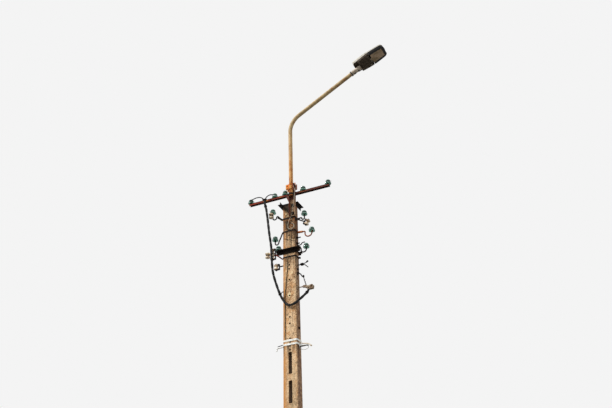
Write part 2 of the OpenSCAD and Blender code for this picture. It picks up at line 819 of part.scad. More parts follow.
// A palm, a straight shank, a bend down, a dip, and a rise into the glass. The shank meets the
// bend on its tangent. Heights are those of the rod's centre line.
module hook_piece(piece, side, y, start, foot_z, top_z, bend, dip, low_z, tip_x, glass_z) {
    turn_x = tip_x - 2 * dip - bend;
    turn_z = top_z - bend;
    dip_z = low_z + dip;
    joint_x = start + joint_r + seat;
    reach = norm([turn_x - joint_x, turn_z - foot_z]);
    climb = atan2(turn_z - foot_z, turn_x - joint_x) + asin(bend / reach);
    shank_l = sqrt(reach * reach - bend * bend);
    if (piece == "glass")
        translate([side * tip_x, y, glass_z]) glass_insulator();
    else
        color([0.16, 0.11, 0.09])
            translate([0, y, 0])
                mirror([side == left ? 1 : 0, 0, 0]) {
                    translate([start, -palm_w / 2, foot_z - palm_over]) cube([palm_t, palm_w, 2 * palm_over]);
                    translate([joint_x, 0, foot_z]) {
                        sphere(r = joint_r);
                        rotate([0, 90 - climb, 0]) cylinder(h = shank_l + 1, r = hook_r + 0.5);
                    }
                    translate([turn_x, 0, turn_z])
                        rotate([90, 0, 0])
                            rotate_extrude(angle = 90 + climb) translate([bend, 0]) circle(r = hook_r);
                    if (turn_z > dip_z)
                        translate([turn_x + bend, 0, dip_z]) cylinder(h = turn_z - dip_z, r = hook_r);
                    translate([turn_x + bend + dip, 0, dip_z])
                        rotate([-90, 0, 0]) rotate_extrude(angle = 180) translate([dip, 0]) circle(r = hook_r);
                    translate([tip_x, 0, dip_z]) cylinder(h = glass_z - dip_z, r = hook_r);
                    translate([tip_x, 0, glass_z - glass_lift]) {
                        cylinder(h = shoulder_h, d = shoulder_d);
                        translate([0, 0, shoulder_h - 1])
                            cylinder(h = glass_lift + bore_h - shoulder_h + 0.5, r = thread_r);
                    }
                }
}
module hook_upper_left() { upper_left("hook"); }
module hook_upper_right() { upper_right("hook"); }
module hook_middle_left() { middle_left("hook"); }
module hook_middle_right() { middle_right("hook"); }
module hook_lower_right() { lower_right("hook"); }

// A straight pin on the front clamp bar's left end
module clamp_bar_pin() {
    color([0.16, 0.11, 0.09])
        translate([rest_pin_x, bar_mid_y, bar_top]) straight_pin(bar_t);
}

module hook_insulators_left() {
    upper_left("glass");
    middle_left("glass");
    translate([rest_pin_x, bar_mid_y, bar_top + glass_lift]) glass_insulator();
}
module hook_insulators_right() {
    upper_right("glass");
    middle_right("glass");
    lower_right("glass");
}

iron_bolt_d = 16;
iron_t = 6;
iron_w = 30;
iron_rod_r = 9;
iron_reach = 45;        // from the iron's back to the bolt
groove_r = spool_d / 2 - 14;
groove_h = 16;
link_gap = 8;           // between two spools on one bolt
link_t = 6;

// The irons share their places with the spools that they carry: each module builds "iron" or "spool"
module tilted_iron(piece)
    iron_piece(piece, side = right, start = band_x(upper_band_z), y = -36, z = pole_h - 275,
        tilt = 30, rod = 158, spools = 1);
module low_iron(piece)
    iron_piece(piece, side = left, start = pole_w(pole_h - 1030) / 2 + seat, y = -20, z = pole_h - 978,
        tilt = 0, rod = 70, spools = 1);
module bar_iron(piece)
    iron_piece(piece, side = left, start = -bar_left + seat, y = bar_mid_y, z = pole_h - 800,
        tilt = 0, rod = 0, spools = 2);

function stack_h(n) = n * spool_h + (n - 1) * link_gap;

// A U-shaped iron with a bolt through its two arms, on a rod from the pole
module iron_piece(piece, side, start, y, z, tilt, rod, spools) {
    h = stack_h(spools) + 2 * seat + 2 * iron_t;
    translate([side * start, y, z])
        mirror([side == left ? 1 : 0, 0, 0]) {
            if (piece == "iron" && rod > 0)
                translate([palm_t / 2, 0, 0]) cube([palm_t, palm_w + 8, 56], center = true);
            rotate([0, tilt, 0])
                if (piece == "spool")
                    for (k = [0:spools - 1])
                        translate([rod + iron_t + iron_reach, 0, (k - (spools - 1) / 2) * (spool_h + link_gap)])
                            spool();
                else {
                    if (rod > 0)
                        translate([palm_t, 0, 0]) rotate([0, 90, 0]) cylinder(h = rod - palm_t + 1, r = iron_rod_r);
                    translate([rod, -iron_w / 2, -h / 2]) {
                        cube([iron_t, iron_w, h]);
                        for (a = [0, h - iron_t])
                            translate([0, 0, a]) {
                                cube([iron_reach + iron_t, iron_w, iron_t]);
                                translate([iron_reach + iron_t, iron_w / 2, 0]) cylinder(h = iron_t, d = iron_w);
                            }
                    }
                    translate([rod + iron_t + iron_reach, 0, 0]) {
                        cylinder(h = h + 20, d = iron_bolt_d, center = true);
                        for (s = [-1, 1])
                            translate([0, 0, s * (h / 2 + 5)])
                                cylinder(h = 10 + 2 * seat, d = 26, center = true, $fn = 6);
                    }
                }
        }
}

// A flat link along an axis: a ring in a spool's groove, a bar, and an eye round a pin
module groove_link(l, eye_r) {
    ring = groove_r + seat;
    difference() {
        union() {
            cylinder(h = link_t, r = ring + link_t, center = true);
            translate([0, -link_t, -link_t / 2]) cube([l, 2 * link_t, link_t]);
            translate([l, 0, 0]) cylinder(h = link_t, r = eye_r + link_t, center = true);
        }
        cylinder(h = 2 * link_t, r = ring, center = true);
        translate([l, 0, 0]) cylinder(h = 2 * link_t, r = eye_r + seat, center = true);
    }
}

// Spools that hang by a link: beside the upper left hook, and beyond the iron on the bar's end
tied_l = 58;
tied_y = -40 - tied_l;
tied_z = pole_h - 168;
end_bolt_x = -bar_left + seat + iron_t + iron_reach;
end_spool_x = end_bolt_x + spool_d + 5;
end_spool_z = pole_h - 800;

module spool_irons() {
    color([0.12, 0.10, 0.10]) {
        tilted_iron("iron");
        low_iron("iron");
        bar_iron("iron");
        translate([-upper_left_tip, tied_y, tied_z]) rotate([0, 0, 90]) groove_link(tied_l, hook_r);
        translate([-end_spool_x, bar_mid_y, end_spool_z])
            groove_link(end_spool_x - end_bolt_x, iron_bolt_d / 2);
    }
}

// A porcelain spool, centred: two flanges with a wire groove between them
module spool() {
    r = spool_d / 2;
    h = spool_h / 2;
    b = iron_bolt_d / 2 + seat;
    g = groove_h / 2;
    color([0.88, 0.84, 0.74])
        rotate_extrude($fn = 40)
            polygon([[b, -h], [r - 4, -h], [r, 5 - h], [r, 16 - h], [r - 6, 24 - h], [groove_r, -g],
                     [groove_r, g], [r - 6, h - 24], [r, h - 16], [r, h - 5], [r - 4, h], [b, h]]);
}
module spools_left() {
    low_iron("spool");
    bar_iron("spool");
    translate([-upper_left_tip, tied_y, tied_z]) spool();
    translate([-end_spool_x, bar_mid_y, end_spool_z]) spool();
}
module spool_right() { tilted_iron("spool"); }

eye_r = 16;
eye_rod = 6;
eye_x = 192;
strain_x0 = pole_w(strain_z - 30) / 2 + seat;

// An eye bolt on a plate on the pole's right side
module strain_hook() {
    color([0.4, 0.33, 0.28]) {
        translate([strain_x0, -20, strain_z - 30]) cube([palm_t, 40, 60]);
        translate([strain_x0 + 1, 0, strain_z]) rotate([0, 90, 0])
            cylinder(h = eye_x - eye_r - strain_x0, r = eye_rod + 1);
        translate([eye_x, 0, strain_z])
            rotate([90, 0, 0]) rotate_extrude() translate([eye_r, 0]) circle(r = eye_rod);
    }
}

clamp_pin_r = 5;
cheek_y = 13;
cheek_t = 6;
body_x = 240;
body_l = 100;
body_drop = 60;
body_half = 22;

// Two cheeks on a pin through the eye, and the wedge body that grips the cable
module strain_clamp() {
    pin_x = eye_x + eye_r - eye_rod - clamp_pin_r - seat;
    color([0.5, 0.45, 0.4])
        translate([0, 0, strain_z]) {
            translate([pin_x, 0, 0])
                rotate([90, 0, 0]) cylinder(h = 2 * (cheek_y + cheek_t), r = clamp_pin_r, center = true);
            for (s = [-1, 1])
                translate([pin_x, s * (cheek_y + cheek_t / 2), 0])
                    rotate([90, 0, 0])
                        linear_extrude(height = cheek_t, center = true)
                            polygon([[-10, -8], [-10, 8], [10, 12], [body_x - pin_x + 20, -4],
                                     [body_x - pin_x + 20, -40], [body_x - pin_x, -36]]);
            rotate([90, 0, 0])
                linear_extrude(height = 2 * body_half, center = true)
                    polygon([[body_x, -46], [body_x + 14, -8], [body_x + body_l - 16, 2],
                             [body_x + body_l, -16], [body_x + body_l - 8, -body_drop],
                             [body_x + 16, -body_drop]]);
        }
}

white_rod_r = 8;
white_drop = 21;        // of the right rod below its band's middle
white_turn = 40;        // radius of the right rod's bent end
white_palm = [palm_t, 30, 60];

// A coated rod from the lower white band, its end bent down
module white_hook_right() {
    x0 = band_x(white_z[1]);
    z = white_z[1] - white_drop;
    l = 122;
    color([0.93, 0.92, 0.88]) {
        translate([x0, -white_palm[1] / 2, z - 16]) cube(white_palm);
        translate([x0 + 1, 0, z]) rotate([0, 90, 0]) cylinder(h = l, r = white_rod_r + 0.5);
        translate([x0 + l, 0, z - white_turn])
            rotate([90, 0, 0])
                rotate([0, 0, 20]) rotate_extrude(angle = 70) translate([white_turn, 0]) circle(r = white_rod_r);
    }
}

// A coated flat arm with a hooked rod at its end
module white_arm_left() {
    x0 = band_x(white_z[1]);
    l = 86;
    drop = 24;
    color([0.9, 0.88, 0.84])
        mirror([1, 0, 0]) {
            translate([x0, -35, white_z[1] - 20]) cube([palm_t, 30, 40]);
            translate([x0 + 1, -30, white_z[1] - 10]) cube([l, 20, 6]);
            translate([x0 + l - 10, -20, white_z[1] - 7]) rotate([0, 90, 0]) cylinder(h = 11, r = white_rod_r + 0.5);
            translate([x0 + l, -20, white_z[1] - 7 - drop])
                rotate([90, 0, 0]) rotate_extrude(angle = 90) translate([drop, 0]) circle(r = white_rod_r);
            translate([x0 + l + drop, -20, white_z[1] - 7 - drop - 18]) cylinder(h = 19, r = white_rod_r + 0.5);
        }
}

// Route of the cable's centre line, from the strain clamp round the front and up the left side
cable_route = [
    [264, -13, 7081.9], [264, -13, 7074], [258, -18, 7052], [236, -34, 7018], [196, -60, 6966],
    [158, -80, 6926], [120, -93, 6890], [75, -98, 6868], [20, -99, 6860], [-35, -99, 6890], [-85, -101, 6965],
    [-125, -104, 7050], [-168, -115, 7182], [-203, -132, 7321], [-223, -138, 7440], [-232, -143, 7600],
    [-238, -150, 7801], [-266, -152, 8014], [-284, -155, 8195], [-303, -150, 8342], [-329, -128, 8458],
    [-362, -103, 8560], [-369, -99, 8590], [-369, -99, 8603]
];

function unit(v) = v / norm(v);
function tangent(p, i) = unit(p[min(i + 1, len(p) - 1)] - p[max(i - 1, 0)]);
function spline(p, steps) = [
    for (i = [0:len(p) - 2], j = [0:steps - 1])
        let (a = p[max(i - 1, 0)], b = p[i], c = p[i + 1], d = p[min(i + 2, len(p) - 1)], t = j / steps)
        0.5 * (2 * b + (c - a) * t + (2 * a - 5 * b + 4 * c - d) * t * t + (3 * b - a - 3 * c + d) * t * t * t),
    p[len(p) - 1]
];
function side_of(t) = unit(cross(t, abs(t[1]) > 0.9 ? [1, 0, 0] : [0, 1, 0]));

// A round tube swept along a list of points
module swept_tube(path, d, sides) {
    loft([
        for (i = [0:len(path) - 1])
            let (t = tangent(path, i), u = side_of(t), v = cross(t, u))
            [for (k = [0:sides - 1])
                path[i] + d / 2 * (cos(360 * k / sides) * u + sin(360 * k / sides) * v)]
    ]);
}

module cable_loop() { color([0.05, 0.05, 0.05]) swept_tube(spline(cable_route, 3), cable_d, 8); }

// Two cores of the bundle go on to the crossarm's left glass
core_routes = [
    [[-377.5, -99, 8604.1], [-377.5, -99, 8614], [-384, -98, 8640], [-400, -97, 8668], [-445, -96, 8700], [-510, -92, 8712],
     [-575, -84, 8706], [-622, -80, 8701]],
    [[-360.5, -99, 8604.1], [-360.5, -99, 8614], [-358, -99, 8636], [-349, -99, 8664], [-318, -97, 8692], [-284, -90, 8704],
     [-258, -82, 8703], [-238, -79, 8701]]
];
// The lamp's supply cable, from the collar down the post into a loose loop over the upper band
supply_route = [
    [134, -115.5, 8696.6], [134.5, -116, 8684], [137, -119, 8643], [133, -119, 8568], [125, -118, 8500],
    [116, -116, 8413], [105, -112, 8350], [80, -106, 8290], [46, -96, 8237], [19, -86, 8182],
    [12, -76, 8119], [26, -73, 8074], [58, -72, 8058], [88, -72, 8056]
];
// The earth wire, laid on the slotted face from the clamp bar to the upper white band
earth_route = [
    [-28, -80, 7668], [-30, -72, 7632], [-34, -69, 7530], [-38, -69.5, 7420], [-43, -70, 7312],
    [-49, -70.5, 7236], [-50, -71, 7170], [-43, -71.5, 7100], [-27, -72, 7020], [-25, -72.5, 6957],
    [-28, -73, 6838], [-31, -74, 6740], [-31, -75, 6646], [-24, -76, 6570], [-17, -77, 6510],
    [-15, -78, 6440], [-15, -79, 6384]
];
module cable_cores() {
    color([0.05, 0.05, 0.05])
        for (r = core_routes) swept_tube(spline(r, 3), core_d, 8);
    color([0.55, 0.52, 0.48]) swept_tube(spline(supply_route, 3), supply_d, 8);
    color([0.10, 0.09, 0.08]) swept_tube(spline(earth_route, 3), earth_d, 8);
}

concrete_pole();
crossarm();
head_post();
post_gusset();
post_clamps();
side_bar_left();
side_bar_right();
head_ties();
line_pins();
line_insulator(pin_offsets[0]);  // line_insulator_1
line_insulator(pin_offsets[1]);  // line_insulator_2
line_insulator(pin_offsets[2]);  // line_insulator_3
line_insulator(pin_offsets[3]);  // line_insulator_4
line_insulator(pin_offsets[4]);  // line_insulator_5
lamp_arm();
arm_collar();
lamp_sleeve();
lamp_canopy();
gear_cover();
lamp_reflector();
lamp_bulb();
lamp_bowl();
hinge_pin();
hook_bands();
white_bands();
clamp_bar_front();
clamp_bar_back();
clamp_bolts();
hook_upper_left();
hook_upper_right();
hook_middle_left();
hook_middle_right();
hook_lower_right();
clamp_bar_pin();
hook_insulators_left();
hook_insulators_right();
spool_irons();
spools_left();
spool_right();
strain_hook();
strain_clamp();
white_hook_right();
white_arm_left();
cable_loop();
cable_cores();
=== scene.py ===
"""Looks of the slotted concrete utility pole, laid out as a Blender add-on and run as a script."""

import json
import math
from functools import partialmethod

import bpy
import numpy as np
from mathutils import Matrix, Vector


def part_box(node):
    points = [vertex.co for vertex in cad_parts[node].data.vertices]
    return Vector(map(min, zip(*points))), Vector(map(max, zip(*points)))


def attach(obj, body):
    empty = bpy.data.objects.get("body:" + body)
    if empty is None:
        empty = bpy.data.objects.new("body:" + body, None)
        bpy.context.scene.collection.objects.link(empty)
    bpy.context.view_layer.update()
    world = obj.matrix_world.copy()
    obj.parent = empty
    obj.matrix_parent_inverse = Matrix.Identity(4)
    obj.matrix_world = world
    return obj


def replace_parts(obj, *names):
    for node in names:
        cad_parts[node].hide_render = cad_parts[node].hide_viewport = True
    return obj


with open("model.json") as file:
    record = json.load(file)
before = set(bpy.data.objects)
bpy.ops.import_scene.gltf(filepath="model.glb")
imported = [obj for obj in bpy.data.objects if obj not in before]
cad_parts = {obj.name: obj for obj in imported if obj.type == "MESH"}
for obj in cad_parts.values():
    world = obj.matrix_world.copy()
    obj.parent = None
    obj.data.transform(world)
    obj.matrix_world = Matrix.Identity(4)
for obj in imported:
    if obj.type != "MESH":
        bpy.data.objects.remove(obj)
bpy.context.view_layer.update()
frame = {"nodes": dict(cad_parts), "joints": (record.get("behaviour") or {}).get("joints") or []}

bl_info = {
    "name": "Utility pole looks",
    "version": (1, 0, 0),
    "blender": (4, 5, 0),
    "location": "3D View > Sidebar > Pole",
    "description": "Dresses the packed utility pole with its materials, cable, glass and small ironwork",
    "category": "Object",
}

POLE = "pole"

# Sizes and places shared with the part, in metres
POLE_H = 8.5
BASE_W, TOP_W = 0.275, 0.188
BASE_D, TOP_D = 0.201, 0.112
ARM_SLOPE = math.radians(28.3)
LAMP_TIP = math.radians(5)
LAMP_L, LAMP_W = 0.530, 0.272
HINGE_X = 0.52 * LAMP_L
GEAR_H = 0.034
GLASS_R, GLASS_H = 0.045, 0.066
BORE_R, BORE_H = 0.013, 0.048
NECK_R, NECK_Z = 0.031, 0.031      # the groove that holds the wire
SPOOL_R, SPOOL_H = 0.035, 0.074
SPOOL_BORE_R, SPOOL_GROOVE_R = 0.0083, 0.021
SPOOL_TILT = math.radians(30)
BAND_GROWTH = 0.0043               # outside of a band past the concrete
ARM_TOP, ARM_H = 8.662, 0.036
COLLAR_X = 0.062
BAND_LEVELS = (8.254, 8.038, 7.626)
WHITE_LEVELS = (6.362, 6.308)
DRIP_LEVELS = ((8.244, 0.20), (8.028, 0.28), (7.616, 0.22), (6.29, 0.18), (8.43, 0.12))
DARK_BORES = 6.20                  # painted shade in the bores: black above this level, a dark brown below it where the bores show their lit sides
LIME_SPOTS = ((-0.004, 7.036, 0.062), (0.042, 7.365, 0.030), (-0.045, 8.33, 0.022), (-0.012, 8.29, 0.018))
LINE_GLASS = [(x, -0.0362, 8.670) for x in (-0.626, -0.230, 0.230, 0.626, -0.060)]
HOOK_GLASS = {
    "left": [(-0.262, -0.040, 8.403), (-0.228, -0.036, 7.945), (-0.149, -0.0906, 7.743)],
    "right": [(0.213, 0.020, 8.294), (0.332, 0.006, 7.986), (0.282, -0.0906, 7.689)],
}
LEFT_SPOOLS = [(-0.2206, -0.020, 7.522), (-0.262, -0.098, 8.332), (-0.3223, -0.0906, 7.700),
               (-0.2473, -0.0906, 7.659), (-0.2473, -0.0906, 7.741)]
RIGHT_SPOOL = (0.2809, -0.036, 8.1205)


def pole_half_width(z):
    return (BASE_W + (TOP_W - BASE_W) * z / POLE_H) / 2


def pole_half_depth(z):
    return (BASE_D + (TOP_D - BASE_D) * z / POLE_H) / 2


# The lamp's own frame: x runs from the housing's rear to its nose, z = 0 is its rim
BOWL_HINGE = Vector(frame["joints"][0]["pos_m"])
LAMP_FRAME = (Matrix.Translation(BOWL_HINGE) @ Matrix.Rotation(LAMP_TIP - ARM_SLOPE, 4, "Y")
              @ Matrix.Translation((-HINGE_X, 0, GEAR_H)))

# The camera that the photograph was taken with, fitted to the pole's edges
CAMERA_PLACE = (5.008, -10.573, 1.5534)
CAMERA_YAW, CAMERA_PITCH, CAMERA_ROLL = (math.radians(a) for a in (24.2172, 30.7507, -1.3892))
CAMERA_FOCAL_PX, PHOTO_WIDTH_PX = 931.766, 612.0
SENSOR_MM = 36.0


def hex_colour(text):
    """Linear colour of a web colour such as a68164."""
    srgb = [int(text[i:i + 2], 16) / 255 for i in (0, 2, 4)]
    return tuple(c / 12.92 if c <= 0.04045 else ((c + 0.055) / 1.055) ** 2.4 for c in srgb) + (1.0,)


def colour_prop(name, text, note):
    return bpy.props.FloatVectorProperty(
        name=name, description=note, subtype="COLOR", size=4, min=0, max=1, default=hex_colour(text))


def number_prop(name, value, note, **more):
    return bpy.props.FloatProperty(name=name, description=note, default=value, min=0, **more)


def size_prop(name, value, note):
    return number_prop(name, value, note, unit="LENGTH", precision=4)


class ConcreteLook(bpy.types.PropertyGroup):
    pale: colour_prop("Pale", "eac79c", "Palest patches of the cast face")
    middle: colour_prop("Middle", "b88e65", "Common tan of the cast face")
    dark: colour_prop("Dark", "77593d", "Darkest weathered patches")
    warm: colour_prop("Warm", "c48647", "Orange patches and the face's left edge")
    moss: colour_prop("Moss", "7d7150", "Grey-green long streaks")
    stain: colour_prop("Stain", "3b2a1c", "Streaks, drips and pores")
    grime: colour_prop("Grime", "2b2416", "Olive grime between the upper bands")
    lime: colour_prop("Lime", "f0d8aa", "Lime round one bolt hole")
    # A nearly black patch at the pole's head, left of the post.
    head_black: colour_prop("Soot", "1d1a14", "Black stain at the pole's head")
    # Flank: reddish dirt and painted shade on the right flank, which faces away from the light.
    flank: colour_prop("Flank", "6f4d3c", "Reddish dirt on the side away from the light")
    rust: colour_prop("Rust", "b5692f", "Orange stain near the pole's head")
    streaks: number_prop("Streaks", 0.6, "Strength of the vertical streaks", max=1, subtype="FACTOR")


class SteelLook(bpy.types.PropertyGroup):
    oxide: colour_prop("Oxide", "94382c", "Red oxide paint")
    oxide_worn: colour_prop("Worn oxide", "63352a", "Oxide paint gone brown")
    rust: colour_prop("Rust", "b0602c", "Bright rust")
    rust_pale: colour_prop("Pale rust", "dd9650", "Yellow-orange bloom on the rust")
    rust_dark: colour_prop("Dark rust", "3f2417", "Old rust")
    iron: colour_prop("Iron", "120e0c", "Nearly black ironwork")
    zinc: colour_prop("Zinc", "a89478", "Dull galvanised strain clamp")
    cream: colour_prop("Cream", "c2a778", "Cream paint of the lamp tube")
    housing: colour_prop("Housing", "c4bdad", "Enamel of the lamp's canopy")
    white: colour_prop("White", "eeeee8", "White coated strip")


class GlassLook(bpy.types.PropertyGroup):
    green: colour_prop("Green", "82b5a0", "Tint of the pressed glass")
    bowl: colour_prop("Bowl", "c9ae90", "Dusty clear bowl")
    cream: colour_prop("Porcelain", "efe0c0", "Cream glaze")
    segments: bpy.props.IntProperty(
        name="Segments", description="Sides of a turned piece", default=56, min=12, max=96)


class CableLook(bpy.types.PropertyGroup):
    black: colour_prop("Black", "121212", "Insulation of the cores")
    grey: colour_prop("Grey", "a89c86", "Sheath of the lamp's supply cable")
    bundle: size_prop("Bundle", 0.036, "Diameter of the twisted bundle")
    strand: size_prop("Strand", 0.0142, "Diameter of one core inside the bundle")
    core: size_prop("Core", 0.015, "Diameter of a core that leaves the bundle")
    supply: size_prop("Supply", 0.009, "Diameter of the lamp's supply cable")
    earth: size_prop("Earth wire", 0.009, "Diameter of the earth wire")
    lay: size_prop("Lay", 0.42, "Length in which the cores turn once")
    cores: bpy.props.IntProperty(name="Cores", description="Number of cores", default=4, min=2, max=5)


class StageLook(bpy.types.PropertyGroup):
    floor: colour_prop("Floor", "c6c6c5", "Pale floor")
    bounce: colour_prop("Bounce", "5c5954", "What the floor throws back on the object")
    backdrop: colour_prop("Backdrop", "f4f4f4", "Background that the camera sees")
    floor_size: size_prop("Floor size", 600.0, "Side of the floor")
    sky: number_prop("Sky", 0.85, "Strength of the even light")
    key: number_prop("Key", 3.0, "Strength of the main light")


LOOKS = {
    "concrete": ConcreteLook, "steel": SteelLook, "glass": GlassLook, "cable": CableLook, "stage": StageLook}


def look(name):
    return getattr(bpy.context.scene, "pole_" + name)


# Shapes as arrays

class Shape:
    """Points and faces of one or more closed surfaces, kept as arrays until a mesh is made."""

    def __init__(self, points, faces):
        self.points = np.asarray(points, float)
        self.faces = [np.asarray(f, int) for f in faces]

    def moved(self, matrix):
        m = np.array(matrix, float)
        return Shape(self.points @ m[:3, :3].T + m[:3, 3], self.faces)

    def shifted(self, place):
        return Shape(self.points + place, self.faces)


def joined(shapes):
    """All shapes as one: points are stacked and each face's numbers are raised by the points before it."""
    points, faces, start = [], [], 0
    for shape in shapes:
        points.append(shape.points)
        faces += [f + start for f in shape.faces]
        start += len(shape.points)
    return Shape(np.vstack(points), faces)


def full_turn(steps):
    return np.linspace(0, 2 * math.pi, steps, endpoint=False)


def grid_faces(rows, columns, loop=False):
    """Quads between neighbours of a grid whose last column meets its first, as its rows do in a loop."""
    i, k = np.meshgrid(np.arange(rows if loop else rows - 1), np.arange(columns), indexing="ij")
    right, after = (k + 1) % columns, (i + 1) % rows
    quads = [i * columns + k, i * columns + right, after * columns + right, after * columns + k]
    return np.stack(quads, axis=-1).reshape(-1, 4)


def rings_shape(rings):
    """A surface through equal rings of points, with a fan of triangles over each end."""
    rows, columns = rings.shape[:2]
    k = np.arange(columns)
    after = (k + 1) % columns
    last = (rows - 1) * columns
    points = np.vstack([rings.reshape(-1, 3), rings[0].mean(0), rings[-1].mean(0)])
    first_cap = np.stack([after, k, np.full(columns, rows * columns)], axis=1)
    last_cap = np.stack([last + k, last + after, np.full(columns, rows * columns + 1)], axis=1)
    return Shape(points, [grid_faces(rows, columns), first_cap, last_cap])


def path_frames(path):
    """Two directions square to the path at each point, which don't turn as the path bends."""
    tangent = np.gradient(path, axis=0)
    tangent /= np.linalg.norm(tangent, axis=1, keepdims=True)
    spare = np.where(np.abs(tangent[:, 1:2]) > 0.9, [[1.0, 0.0, 0.0]], [[0.0, 1.0, 0.0]])
    side = np.cross(tangent, spare)
    side /= np.linalg.norm(side, axis=1, keepdims=True)
    return side, np.cross(tangent, side)


def tube(path, radius, sides=12):
    """A circle carried along a path: its point plus radius times cos and sin on two cross directions."""
    path = np.asarray(path, float)
    side, other = path_frames(path)
    turn = full_turn(sides)
    radius = np.broadcast_to(np.asarray(radius, float), (len(path),))[:, None, None]
    ring = np.cos(turn)[None, :, None] * side[:, None, :] + np.sin(turn)[None, :, None] * other[:, None, :]
    return rings_shape(path[:, None, :] + radius * ring)


def turned(profile, segments, ring=False):
    """A profile of (radius, height) pairs spun round the Z axis: x = r cos, y = r sin, z = height.
    A ring's profile is closed and keeps off the axis; any other is closed by a flat disc at each end."""
    profile = np.asarray(profile, float)
    turn = full_turn(segments)
    x = profile[:, 0:1] * np.cos(turn)
    y = profile[:, 0:1] * np.sin(turn)
    z = np.repeat(profile[:, 1:2], segments, axis=1)
    rings = np.stack([x, y, z], axis=-1)
    if ring:
        return Shape(rings.reshape(-1, 3), [grid_faces(len(profile), segments, loop=True)])
    return rings_shape(rings)


def smooth_line(points, steps):
    """A Catmull-Rom curve: between two points, cubic weights of them and of their two neighbours."""
    p = np.asarray(points, float)
    a, b = np.vstack([p[:1], p[:-2]]), p[:-1]
    c, d = p[1:], np.vstack([p[2:], p[-1:]])
    t = (np.arange(steps) / steps)[None, :, None]
    a, b, c, d = (q[:, None, :] for q in (a, b, c, d))
    square, cube = 2 * a - 5 * b + 4 * c - d, 3 * b - a - 3 * c + d
    curve = 0.5 * (2 * b + (c - a) * t + square * t ** 2 + cube * t ** 3)
    return np.vstack([curve.reshape(-1, p.shape[1]), p[-1:]])


def run_along(path):
    """Each point's distance from the start: the lengths of the steps before it, added up."""
    return np.concatenate([[0], np.cumsum(np.linalg.norm(np.diff(path, axis=0), axis=1))])


def evenly(path, step):
    """The same line with its points about a step apart, found by straight interpolation along its length."""
    run = run_along(path)
    at = np.linspace(0, run[-1], max(2, int(round(run[-1] / step)) + 1))
    return np.stack([np.interp(at, run, path[:, k]) for k in range(3)], axis=1)


def puck(radius, low, high, sides=20):
    """A short cylinder between two heights, its rims eased by a fifth of its height or 1.5 mm."""
    ease = min(0.0015, 0.2 * (high - low))
    inner = radius - ease
    return turned([(inner, low), (radius, low + ease), (radius, high - ease), (inner, high)], sides)


def nut(across, low, height):
    """A six-sided nut: a profile with both ends drawn in by a tenth, spun in six steps."""
    r, end = across / math.sqrt(3), 0.1 * height
    return turned([(0.9 * r, low), (r, low + end), (r, low + 0.9 * height), (0.9 * r, low + height)], 6)


def bolt_end(thread, tail, way, place):
    """A washer, a nut and the bolt's end on a surface: 2.4 and 1.6 threads across, stacked outward."""
    washer = 0.16 * thread
    top = washer + 0.8 * thread
    return joined([puck(1.2 * thread, 0, washer), nut(1.6 * thread, washer, 0.8 * thread),
                   puck(thread / 2, top - 0.001, top + tail, 12)]).moved(along(way, place))


def rod(points, radius, steps=8, sides=12):
    """A round bar through a few points in metres, eased between them."""
    return tube(smooth_line(np.array(points), steps), radius, sides)


def block(low, high):
    """A box between two corners, its edges eased: a rounded square in X and Y drawn in at both ends."""
    low, high = np.minimum(low, high), np.maximum(low, high)
    half, middle = (high - low) / 2, (high + low) / 2
    ease = min(0.002, 0.3 * half.min())
    turn = full_turn(12) + math.pi / 12
    corner = np.stack([np.sign(np.cos(turn)), np.sign(np.sin(turn))], axis=1)
    bend = np.stack([np.cos(turn), np.sin(turn)], axis=1)
    rings = []
    for level, inset in ((-half[2], ease), (ease - half[2], 0), (half[2] - ease, 0), (half[2], ease)):
        flat = corner * (half[:2] - ease) + bend * (ease - inset)
        rings.append(np.column_stack([flat, np.full(len(flat), level)]) + middle)
    return rings_shape(np.stack(rings))


def along(direction, place):
    """A matrix that carries the Z axis onto a direction and the origin to a place."""
    turn = Vector((0, 0, 1)).rotation_difference(Vector(direction)).to_matrix().to_4x4()
    return Matrix.Translation(Vector(place)) @ turn


def placed(name, data):
    thing = bpy.data.objects.new(name, data)
    bpy.context.scene.collection.objects.link(thing)
    return thing


def make_piece(name, shape, material, edge=35):
    """Puts a shape in a mesh object at the origin, with its material, and fixes it to the pole."""
    mesh = bpy.data.meshes.new(name)
    mesh.from_pydata(shape.points.tolist(), [], [f.tolist() for group in shape.faces for f in group])
    mesh.materials.append(material)
    mesh.validate()
    mesh.shade_smooth()
    mesh.set_sharp_from_angle(angle=math.radians(edge))
    piece = placed(name, mesh)
    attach(piece, POLE)
    return piece


def dress(material, *nodes):
    """Gives CAD nodes their material."""
    for node in nodes:
        mesh = frame["nodes"][node].data
        mesh.materials.clear()
        mesh.materials.append(material)


# Materials

